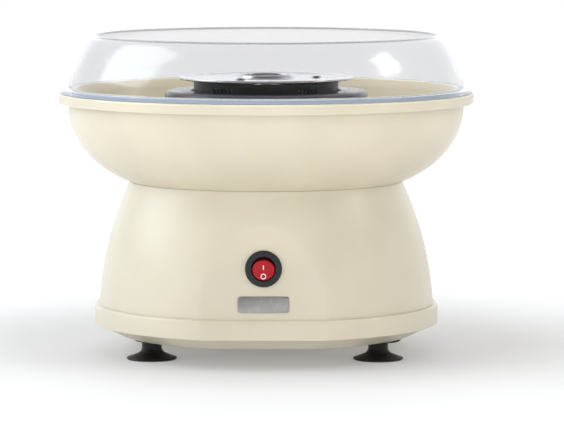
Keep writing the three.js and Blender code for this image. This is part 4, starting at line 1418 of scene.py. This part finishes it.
@dataclass
class HeaterStack:
    """The turret in the middle of the bowl, with the dark shield and heater ring on top."""

    wall: float = 2.5
    turret_bore: float = 50.0
    trough: float = 52.0
    trough_floor: float = 163.0
    sheet: float = 0.8
    tube_ring: float = 38.0
    tube: float = 3.8
    tube_height: float = 170.2
    gap: float = math.radians(34)
    pillar_ring: float = 50.0
    pillar_top: float = 149.9

    def build_turret(self) -> None:
        """Builds the turret with the pillars that carry the motor bracket."""
        extent = Extent.of("turret")
        low, radius, top = extent.low.z, extent.radius, extent.high.z
        inner, ledge = radius - self.wall, self.trough + 5
        profile = Profile(fineness=9).to(self.turret_bore, low, 0.4).to(radius, low, 0.5)
        profile.to(radius, top, 1.8).to(ledge, top, 0.5).to(ledge, top - 2.4, 0.4)
        profile.to(inner, top - 4, 0.8).to(inner, low + 3, 1.2).to(self.turret_bore, low + 3, 0.4)
        body = Solid().turned(profile, 160)
        for angle in round_the_circle(3, -math.pi / 2):
            place = polar(self.pillar_ring, angle)
            post = Profile().to(1.7, low + 1).to(5, low + 1).to(5, self.pillar_top, 0.4)
            body.take(Solid().turned(post.to(1.7, self.pillar_top, 0.3), 32).at(*place).mesh)
            web = Solid().block((4.4, -1, low + 2), (inner - self.pillar_ring + 0.6, 1,
                                                     self.pillar_top - 6), 0.3)
            body.take(web.at(*place, turn=angle).mesh)
        add_piece("heater_turret", body, CREAM, Body.BASE, "turret")
        screw = Screw(3.4, 2, 1.5, 10)
        for index, angle in enumerate(round_the_circle(3, math.pi / 2), 1):
            node = f"turret_screw_{index}"
            solid = screw.solid(Extent.of(node).low.z, *polar(TURRET_SCREW_RING, angle), flip=True)
            add_piece(f"turret_fixing_{index}", solid, ZINC, Body.BASE, node)

    def build_shield(self) -> None:
        """Builds the dark shield: a trough for the heater with a rolled outer shoulder."""
        extent = Extent.of("heat_shield")
        top, radius, sheet, floor = extent.high.z, extent.radius, self.sheet, self.trough_floor
        skirt, hole = top - 8.2, 9.0
        profile = Profile(fineness=6).to(hole, floor, 0.3).to(self.trough - sheet, floor, 3.4)
        profile.to(self.trough - sheet, top, 1.1).to(radius, top, 4.6).to(radius, skirt, 0.35)
        profile.to(radius - sheet, skirt, 0.35).to(radius - sheet, top - sheet, 3.8)
        profile.to(self.trough, top - sheet, 0.3).to(self.trough, floor - sheet, 4.2)
        shield = Solid().turned(profile.to(hole, floor - sheet, 0.3), 200)

        def ripple(point: Vector) -> Vector:
            """Gives the pressed sheet the slow waves that spinning leaves in it."""
            reach = math.hypot(point.x, point.y)
            angle = math.atan2(point.y, point.x)
            share = min(max((reach - self.trough) / (radius - self.trough), 0.0), 1.0)
            wave = math.sin(7 * angle + 0.6) + 0.6 * math.sin(13 * angle + 2.1)
            return Vector((point.x, point.y, point.z + (wave - 1.6) * 0.045 * share))

        add_piece("spun_shield", shield.shaped(ripple), BLUED_STEEL, Body.BASE, "heat_shield")

    def build_heater(self) -> None:
        """Builds the open quartz ring, its end caps and its posts."""
        tube = bmesh.new()
        bmesh.ops.create_circle(tube, segments=20, radius=self.tube, cap_ends=False)
        stand = Matrix.Translation((self.tube_ring, 0, 0)) @ Matrix.Rotation(math.pi / 2, 4, "X")
        start = Matrix.Rotation(math.pi / 2 + self.gap / 2, 4, "Z")
        bmesh.ops.transform(tube, matrix=start @ stand, verts=tube.verts)
        bmesh.ops.spin(tube, geom=[*tube.verts, *tube.edges], axis=(0, 0, 1), cent=(0, 0, 0),
                       angle=FULL_TURN - self.gap, steps=150, use_merge=False)
        bmesh.ops.holes_fill(tube, edges=[e for e in tube.edges if e.is_boundary], sides=0)
        bmesh.ops.recalc_face_normals(tube, faces=tube.faces)
        coil = Solid().take(tube).at(0, 0, self.tube_height)
        add_piece("quartz_heater", coil, QUARTZ, Body.BASE, "heater_ring")
        low, top = self.trough_floor + 0.3, self.tube_height - self.tube - 0.3
        for index, angle in enumerate(round_the_circle(3, -math.pi / 2), 1):
            profile = Profile(closed=False).to(0, low).to(5, low, 0.3).to(5, low + 1.2, 0.5)
            profile.to(3, low + 1.6, 0.6).to(3, top, 0.5).to(0, top)
            post = Solid().turned(profile, 36).at(*polar(self.tube_ring, angle))
            add_piece(f"ceramic_post_{index}", post, CERAMIC, Body.BASE, f"heater_post_{index}")
        for index in (1, 2):
            box = Extent.of(f"heater_cap_{index}")
            angle = math.atan2(box.centre.y, box.centre.x)
            cap = Solid().block((-4.6, -3.2, box.low.z), (4.6, 3.2, box.high.z), 0.9)
            cap.at(*polar(self.tube_ring, angle), turn=angle)
            add_piece(f"ceramic_cap_{index}", cap, CERAMIC, Body.BASE, f"heater_cap_{index}")

    def build(self) -> None:
        """Builds the whole stack."""
        self.build_turret()
        self.build_shield()
        self.build_heater()


# ------------------------------------------------------------------------------------------------
# Extractor head
# ------------------------------------------------------------------------------------------------


@dataclass
class ExtractorHead:
    """The spinning head: a top plate with a sugar well, a slotted band, a floor and a hub."""

    well: float = 17.0
    field_drop: float = 0.9
    sheet: float = 1.3
    slot_groups: int = 5
    group_slots: int = 5
    slot_width: float = 2.0
    slot_pitch: float = 3.3
    slot_low: float = 176.8
    slot_high: float = 181.4
    floor_top: float = 179.4
    rivet_ring: float = 34.0
    hub: float = 7.0

    def build_plate(self) -> None:
        """Builds the spun top plate with its raised well ring and rolled edge."""
        extent = Extent.of("head_top_plate")
        radius, top = extent.radius, extent.high.z - 1.4
        field_top = top - self.field_drop
        under = field_top - self.sheet
        profile = Profile(fineness=7).to(self.well, top - 1.6, 0.5).to(self.well, top + 1.4, 1.0)
        profile.to(self.well + 2.0, top + 1.4, 1.1).to(self.well + 3.4, field_top, 1.2)
        profile.to(self.well + 14, field_top).to(self.well + 14.6, field_top + 0.12)
        profile.to(self.well + 15.2, field_top).to(radius - 4.5, field_top, 1.5)
        profile.to(radius - 2.6, top, 1.5).to(radius, top, 0.75).to(radius, top - 1.6, 0.75)
        profile.to(radius - 3, top - 1.7, 1.0).to(radius - 4.8, under, 1.0)
        plate = Solid().turned(profile.to(self.well + 2, under, 0.6), 200)
        add_piece("spun_top_plate", plate, ALUMINIUM, Body.HEAD, "head_top_plate")

    def build_band(self) -> None:
        """Builds the dark band with its five rows of floss slots."""
        extent = Extent.of("head_band")
        radius, low, high = extent.radius, extent.low.z, extent.high.z
        band = ring(radius - 1.2, radius, low, high, 0.3, 192)
        cutters = Solid()
        half, middle = self.slot_width / 2, (self.group_slots - 1) / 2
        for angle in round_the_circle(self.slot_groups, math.pi / 2):
            for index in range(self.group_slots):
                turn = angle + (index - middle) * self.slot_pitch / radius
                slot = Solid().block((radius - 5, -half, self.slot_low),
                                     (radius + 5, half, self.slot_high))
                cutters.take(slot.at(0, 0, turn=turn).mesh)
        add_piece("slotted_band", band.cut_by(cutters), BAND_METAL, Body.HEAD, "head_band")

    def build_floor(self) -> None:
        """Builds the floor, the hub with its pin slot, and the rivets."""
        extent = Extent.of("head_floor")
        outer, under = extent.radius, extent.low.z
        profile = Profile(fineness=9).to(self.hub + 0.3, under, 0.2).to(outer, under, 0.8)
        profile.to(outer, extent.high.z, 0.3).to(outer - 1, extent.high.z, 0.3)
        profile.to(outer - 2, self.floor_top, 1.0).to(self.hub + 0.3, self.floor_top, 0.2)
        add_piece("sugar_floor", Solid().turned(profile, 144), ALUMINIUM, Body.HEAD, "head_floor")
        box = Extent.of("head_hub")
        low, nose, seat, bore = box.low.z, box.high.z, self.floor_top + 0.3, 3.3
        profile = Profile(closed=False, fineness=9).to(0, nose).to(4.6, nose, 1.2)
        profile.to(5.6, nose - 0.9, 0.6).to(self.hub - 0.5, seat + 2.7, 0.8)
        profile.to(box.radius, seat + 1.5, 0.5).to(box.radius, seat, 0.2).to(self.hub, seat)
        profile.to(self.hub, low, 0.4).to(bore, low, 0.3).to(bore, nose - 1.5).to(0, nose - 1.5)
        pin_top = Extent.of("drive_pin").high.z + 0.4
        slot = Solid().block((-20, -1.4, low - 2), (20, 1.4, pin_top))
        hub = Solid().turned(profile, 64).cut_by(slot)
        add_piece("drive_hub", hub, ALUMINIUM, Body.HEAD, "head_hub")
        for index, angle in enumerate(round_the_circle(3), 1):
            box = Extent.of(f"head_rivet_{index}")
            low, high = box.low.z, box.high.z
            seat, plate = self.floor_top + 0.3, high - 4.0
            profile = Profile(closed=False).to(0, low).to(3.2, low, 0.9).to(3.2, low + 1.2)
            profile.to(1.6, low + 1.2).to(1.6, seat).to(2.8, seat, 0.2).to(2.8, plate + 0.2, 0.2)
            profile.to(1.6, plate + 0.2).to(1.6, high - 1.3).to(3.2, high - 1.3)
            rivet = Solid().turned(profile.to(3.2, high, 1.1).to(0, high), 32)
            rivet.at(*polar(self.rivet_ring, angle))
            add_piece(f"dome_rivet_{index}", rivet, ALUMINIUM, Body.HEAD, f"head_rivet_{index}")

    def build(self) -> None:
        """Builds the whole head."""
        self.build_plate()
        self.build_band()
        self.build_floor()


# ------------------------------------------------------------------------------------------------
# Motor and electrics
# ------------------------------------------------------------------------------------------------


@dataclass
class Motor:
    """The brushed motor under the head, its bracket and its turning parts."""

    sheet: float = 1.4
    bore: float = 3.3
    screw_place: float = 12.5
    arm: float = 50.0
    poles: int = 5

    def build_stator(self) -> None:
        """Builds the can, magnets and end bell."""
        extent = Extent.of("motor_can")
        radius, low, collar = extent.radius, extent.low.z, extent.high.z
        top = collar - 3
        roof, inner = top - self.sheet, radius - self.sheet
        profile = Profile(fineness=9).to(self.bore, roof).to(inner, roof, 1).to(inner, low)
        profile.to(radius, low, 0.3).to(radius, top, 2.2).to(6.4, top, 0.4).to(6.4, collar, 0.5)
        can = Solid().turned(profile.to(self.bore, collar, 0.4), 96)
        for side in (-1, 1):
            can.cut_by(rod(1.5, roof - 3, top + 3, steps=16).at(side * self.screw_place, 0))
        add_piece("drawn_can", can, ZINC, Body.BASE, "motor_can")
        for index, turn in enumerate((0.0, math.pi), 1):
            box = Extent.of(f"motor_magnet_{index}")
            outer = inner - 0.3
            half = math.acos(4 / outer)
            profile = Profile().to(outer - 2.4, box.low.z, 0.3).to(outer, box.low.z, 0.3)
            profile.to(outer, box.high.z, 0.3).to(outer - 2.4, box.high.z, 0.3)
            arc = bmesh.new()
            corners = [arc.verts.new(point) for point in profile.points()]
            face = arc.faces.new(corners)
            bmesh.ops.rotate(arc, verts=corners, matrix=Matrix.Rotation(-half, 3, "Z"))
            bmesh.ops.spin(arc, geom=[face], axis=(0, 0, 1), cent=(0, 0, 0), angle=2 * half,
                           steps=36, use_merge=False, use_duplicate=False)
            bmesh.ops.recalc_face_normals(arc, faces=arc.faces)
            magnet = Solid().take(arc).at(0, 0, turn=turn)
            add_piece(f"arc_magnet_{index}", magnet, DARK_STEEL, Body.BASE, f"motor_magnet_{index}")
        box = Extent.of("motor_end_bell")
        low, high, outer = box.low.z, box.high.z, box.radius
        profile = Profile(closed=False).to(0, low).to(6, low, 0.6).to(6, low + 2.6, 0.5)
        profile.to(outer, low + 3.3, 0.8).to(outer, high, 0.3).to(5.4, high, 0.3).to(5.4, low + 5)
        profile.to(self.bore, low + 5).to(self.bore, low + 2).to(0, low + 2)
        add_piece("brush_bell", Solid().turned(profile, 72), BLACK, Body.BASE, "motor_end_bell")

    def build_bracket(self) -> None:
        """Builds the three-armed bracket, its grommets and its screws."""
        box = Extent.of("motor_bracket")
        low, high = box.low.z, box.high.z
        outline = []
        for angle in round_the_circle(3, -math.pi / 2):
            for step in range(9):
                swing = -math.pi / 2 + math.pi * step / 8
                tip = Vector(polar(6.5, angle + swing)) + Vector(polar(self.arm, angle))
                outline.append(tuple(tip))
            outline += [polar(23, angle + math.pi / 3 + swing) for swing in
                        (-0.72, -0.45, -0.15, 0.15, 0.45, 0.72)]
        bracket = Solid().plate(outline, low, high, 0.25, 2).cut_by(rod(6.8, low - 2, high + 2))
        for angle in round_the_circle(3, -math.pi / 2):
            bracket.cut_by(rod(2.3, low - 2, high + 2).at(*polar(self.arm, angle)))
        for side in (-1, 1):
            bracket.cut_by(rod(1.8, low - 2, high + 2).at(side * self.screw_place, 0))
        add_piece("three_arm_bracket", bracket, ZINC, Body.BASE, "motor_bracket")
        long_screw, short_screw = Screw(4, 2.2, 1.4, 11.8), Screw(2.7, 1.8, 1.2, 4.7)
        for index, angle in enumerate(round_the_circle(3, -math.pi / 2), 1):
            x, y = polar(self.arm, angle)
            rubber = Extent.of(f"bracket_grommet_{index}")
            grommet = ring(2.3, 5.2, rubber.low.z, rubber.high.z, 0.8, 40).at(x, y)
            add_piece(f"rubber_grommet_{index}", grommet, RUBBER, Body.BASE,
                      f"bracket_grommet_{index}")
            screw = long_screw.solid(Extent.of(f"bracket_screw_{index}").high.z, x, y)
            add_piece(f"bracket_fixing_{index}", screw, ZINC, Body.BASE, f"bracket_screw_{index}")
        for index, side in enumerate((-1, 1), 1):
            top = Extent.of(f"motor_screw_{index}").high.z
            screw = short_screw.solid(top, side * self.screw_place, 0)
            add_piece(f"motor_fixing_{index}", screw, ZINC, Body.BASE, f"motor_screw_{index}")

    def build_rotor(self) -> None:
        """Builds the shaft, armature, commutator, flinger and drive pin."""
        pin = Extent.of("drive_pin")
        shaft = Extent.of("motor_shaft")
        cross = Matrix.Rotation(math.pi / 2, 4, "Y")
        bore = rod(1.3, -10, 10, steps=20).moved(cross).at(0, 0, pin.centre.z)
        spindle = rod(shaft.radius, shaft.low.z, shaft.high.z, 0.7, 48).cut_by(bore)
        add_piece("steel_shaft", spindle, STEEL, Body.DRIVE, "motor_shaft")
        cross_pin = rod(1.0, -6.2, 6.2, 0.25, 24).moved(cross).at(0, 0, pin.centre.z)
        add_piece("steel_cross_pin", cross_pin, STEEL, Body.DRIVE, "drive_pin")
        core = Extent.of("armature_core")
        low, high, radius = core.low.z, core.high.z, core.high.x
        stack = ring(self.bore, radius, low, high, 0.3, 80)
        for angle in round_the_circle(self.poles):
            mouth = Solid().block((radius - 1.1, -0.8, low - 4), (radius + 1, 0.8, high + 4))
            pocket = Solid().block((7, -2.6, low - 4), (radius - 1, 2.6, high + 4))
            stack.cut_by(mouth.at(0, 0, turn=angle)).cut_by(pocket.at(0, 0, turn=angle))
        add_piece("laminated_core", stack, DARK_STEEL, Body.DRIVE, "armature_core")
        drum = Extent.of("commutator")
        copper = ring(self.bore, drum.radius, drum.low.z, drum.high.z, 0.3, 60)
        for angle in round_the_circle(self.poles):
            groove = Solid().block((drum.radius - 0.5, -0.2, drum.low.z - 1),
                                   (drum.radius + 1, 0.2, drum.high.z + 1))
            copper.cut_by(groove.at(0, 0, turn=angle))
        add_piece("copper_commutator", copper, COPPER, Body.DRIVE, "commutator")
        disc = Extent.of("shaft_flinger")
        low, high = disc.low.z, disc.high.z
        profile = Profile().to(self.bore, low, 0.2).to(5.5, low, 0.4)
        profile.to(disc.radius, high - 0.8, 0.2).to(disc.radius, high, 0.2)
        flinger = profile.to(self.bore, high, 0.2)
        add_piece("brass_flinger", Solid().turned(flinger, 56), BRASS, Body.DRIVE, "shaft_flinger")

    def build(self) -> None:
        """Builds the whole motor."""
        self.build_stator()
        self.build_bracket()
        self.build_rotor()


@dataclass
class Electrics:
    """What the switch feeds: cut-out, rectifier board and terminal block."""

    board_sheet: float = 1.6
    diodes: int = 4
    diode_place: tuple[float, float] = (-46.0, 16.0)
    diode_pitch: float = 7.0
    diode_rise: float = 1.75
    capacitor_place: tuple[float, float] = (-30.0, 28.0)
    columns: tuple[float, ...] = (31.0, 41.0, 51.0)
    rows: tuple[float, ...] = (23.0, 31.0)

    def build_cutout(self) -> None:
        """Builds the thermal cut-out under the shield."""
        box = Extent.of("thermal_cutout")
        low, high = box.low.z, box.high.z
        case = Solid().block((24, -5, low), (38, 5, high), 0.6)
        for first, last in ((20, 24.3), (37.7, 42)):
            tab = Solid().block((first, -2, low + 1.2), (last, 2, low + 2.2), 0.15, 2)
            case.take(tab.mesh)
        add_piece("cutout_case", case, BLACK, Body.BASE, "thermal_cutout")

    def build_board(self) -> None:
        """Builds the rectifier board with its diodes and capacitor."""
        box = Extent.of("rectifier_board")
        top = box.low.z + self.board_sheet
        board = Solid().block(box.low, (box.high.x, box.high.y, top), 0.2, 2)
        add_piece("rectifier_card", board, LAMINATE, Body.BASE, "rectifier_board")
        flat = Matrix.Rotation(math.pi / 2, 4, "Y")
        for index in range(self.diodes):
            x, y = self.diode_place
            place = (x, y + self.diode_pitch * index, top + self.diode_rise)
            diode = rod(1.7, -2.6, 2.6, 0.3, 24).moved(flat)
            add_piece(f"diode_{index + 1}", diode.at(*place), BLACK, Body.BASE)
            lead = rod(0.4, -4.4, 4.4, 0.1, 12).moved(flat)
            add_piece(f"diode_lead_{index + 1}", lead.at(*place), ZINC, Body.BASE)
        can = Profile(closed=False).to(0, top + 0.1).to(6.5, top + 0.1, 0.5).to(6.5, top + 2, 0.3)
        can.to(6.1, top + 2.5, 0.3).to(6.5, top + 3, 0.3).to(6.5, box.high.z, 0.8)
        solid = Solid().turned(can.to(0, box.high.z), 48).at(*self.capacitor_place)
        add_piece("capacitor", solid, BLACK, Body.BASE)

    def build_block(self) -> None:
        """Builds the terminal block and its screws."""
        box = Extent.of("terminal_block")
        low, high = box.low, box.high
        body = Solid().block(low, high, 0.6)
        screw = Screw(2.3, 1.2, 1.2, 4)
        places = [(x, y) for x in self.columns for y in self.rows]
        for x, y in places:
            body.cut_by(rod(2.6, high.z - 7, high.z + 3, steps=28).at(x, y))
        add_piece("terminal_strip", body, BLACK, Body.BASE, "terminal_block")
        for index, (x, y) in enumerate(places, 1):
            fixing = screw.solid(high.z - 1.5, x, y)
            add_piece(f"terminal_fixing_{index}", fixing, BRASS, Body.BASE)

    def build(self) -> None:
        """Builds the electrics."""
        self.build_cutout()
        self.build_board()
        self.build_block()


# ------------------------------------------------------------------------------------------------
# Studio
# ------------------------------------------------------------------------------------------------


@dataclass(frozen=True)
class Lamp:
    """A soft square light that faces the machine. Metres and watts."""

    name: str
    place: tuple[float, float, float]
    size: float
    power: float
    colour: Colour = (1.0, 1.0, 1.0)
    mirrored: bool = True

    def build(self, aim: Vector) -> None:
        """Hangs the lamp, which shows in glossy surfaces only if it is mirrored."""
        data = bpy.data.lights.new(self.name, "AREA")
        data.shape = "SQUARE"
        data.size = self.size
        data.energy = self.power
        data.color = self.colour
        light = bpy.data.objects.new(self.name, data)
        light.location = self.place
        light.rotation_euler = (aim - Vector(self.place)).to_track_quat("-Z", "Y").to_euler()
        light.visible_camera = False
        light.visible_glossy = self.mirrored
        bpy.context.scene.collection.objects.link(light)


@dataclass
class Studio:
    """A pale floor whose glow is painted light, soft light and a long lens a little above the
    machine. Metres.
    """

    lens: float = 244.0
    camera_place: tuple[float, float, float] = (0.0448, -2.5976, 0.3339)
    camera_turn: float = math.radians(0.75)
    camera_drop: float = math.radians(5.24)
    floor_size: float = 60.0
    floor_colour: Colour = (0.57, 0.57, 0.57)
    # The floor glows as painted light: faint round the machine, which gives a painted soft shadow
    # there; bright further off; brightest in front, where it lights the machine's undersides as a
    # painted bounce light.
    painted_shadow_glow: Colour = (0.2, 0.2, 0.2)
    far_glow: Colour = (0.64, 0.64, 0.64)
    front_fill_glow: Colour = (0.75, 0.75, 0.75)
    aim: tuple[float, float, float] = (0.0, 0.0, 0.12)
    glow_starts: float = 0.13
    front_starts: float = 0.36
    glow_full: float = 0.65
    front_air: float = 0.12
    back_air: float = 1.5
    air_bend: float = 2.6
    lamps: tuple[Lamp, ...] = (
        Lamp("window_left", (-2.0, 0.15, 1.35), 1.6, 24.0, (0.87, 0.94, 1.0)),
        Lamp("lamp_right", (1.7, -0.15, 1.25), 0.5, 4.0),
        Lamp("fill_left", (-1.9, -1.2, 0.6), 1.1, 14.0, (0.78, 0.88, 1.0), mirrored=False),
        Lamp("fill_right", (2.0, -0.9, 0.45), 0.85, 9.0, mirrored=False),
        Lamp("fill_front", (-0.2, -2.4, 0.4), 0.75, 22.0, mirrored=False),
        Lamp("fill_top", (0.0, -1.4, 2.0), 1.2, 6.0, mirrored=False),
        Lamp("fill_bowl", (0.0, -0.1, 0.44), 0.2, 0.9, mirrored=False),
    )

    def build_floor(self) -> None:
        """Lays the floor, whose glow is painted light: dim round the machine, bright away from it and
        brightest in front.
        """
        shader = Shader("studio_floor")
        cloud = shader.noise(3.0, 2.0)
        x, y = shader.axis(0), shader.axis(1)
        # Painted light: the floor's glow stays dim round the machine and rises away from it and in
        # front of it.
        away = (x * x + y * y).math("SQRT").ramp(self.glow_starts, self.glow_full)
        before = (0 - y).ramp(self.front_starts, self.glow_full)
        glow = shader.blend(away, self.painted_shadow_glow, self.far_glow)
        paler = tuple(c + 0.01 for c in self.floor_colour)
        material = shader.surface(
            Base_Color=shader.blend(cloud, self.floor_colour, paler),
            Roughness=cloud * 0.1 + 0.6, Specular_IOR_Level=0.2,
            Emission_Color=shader.blend(before, glow, self.front_fill_glow), Emission_Strength=1.0)
        plane = bmesh.new()
        bmesh.ops.create_grid(plane, x_segments=1, y_segments=1, size=self.floor_size / 2)
        mesh = bpy.data.meshes.new("studio_floor")
        plane.to_mesh(mesh)
        plane.free()
        floor = bpy.data.objects.new("studio_floor", mesh)
        bpy.context.scene.collection.objects.link(floor)
        mesh.materials.append(material)

    def build_world(self) -> None:
        """Fills the room with white light, strong behind the machine and faint before it."""
        air = Shader("studio_air", room=True)
        direction = air.node("ShaderNodeTexCoord").outputs["Generated"]
        parts = air.node("ShaderNodeSeparateXYZ", inputs={0: direction})
        share = air.node("ShaderNodeMapRange", inputs={"Value": parts.outputs["Y"],
                                                       "From Min": -1.0})
        bent = Value(air, share.outputs[0]) ** self.air_bend
        spread = air.node("ShaderNodeMapRange", inputs={
            "Value": bent, "To Min": self.front_air, "To Max": self.back_air})
        light = air.node("ShaderNodeBackground", inputs={
            "Color": (1.0, 1.0, 1.0, 1.0), "Strength": spread.outputs[0]})
        air.node("ShaderNodeOutputWorld", inputs={"Surface": light.outputs[0]})
        bpy.context.scene.world = air.owner
        bpy.context.scene.view_settings.view_transform = "Standard"

    def build_camera(self) -> None:
        """Sets the camera."""
        data = bpy.data.cameras.new("studio_camera")
        data.lens = self.lens
        data.clip_end = 100
        camera = bpy.data.objects.new("studio_camera", data)
        camera.location = self.camera_place
        camera.rotation_euler = (math.pi / 2 - self.camera_drop, 0.0, self.camera_turn)
        bpy.context.scene.collection.objects.link(camera)
        bpy.context.scene.camera = camera

    def build(self) -> None:
        """Builds the studio."""
        self.build_world()
        self.build_floor()
        self.build_camera()
        for lamp in self.lamps:
            lamp.build(Vector(self.aim))


def main() -> None:
    """Builds the machine round its frame, then the studio."""
    logging.basicConfig(level=logging.INFO, format="%(message)s")
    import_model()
    for assembly in (Base(), RockerSwitch(), HeaterStack(), Bowl(), RimGuard(), ExtractorHead(),
                     Motor(), Electrics(), Studio()):
        log.info("building %s", type(assembly).__name__)
        assembly.build()


if __name__ == "__main__":
    main()
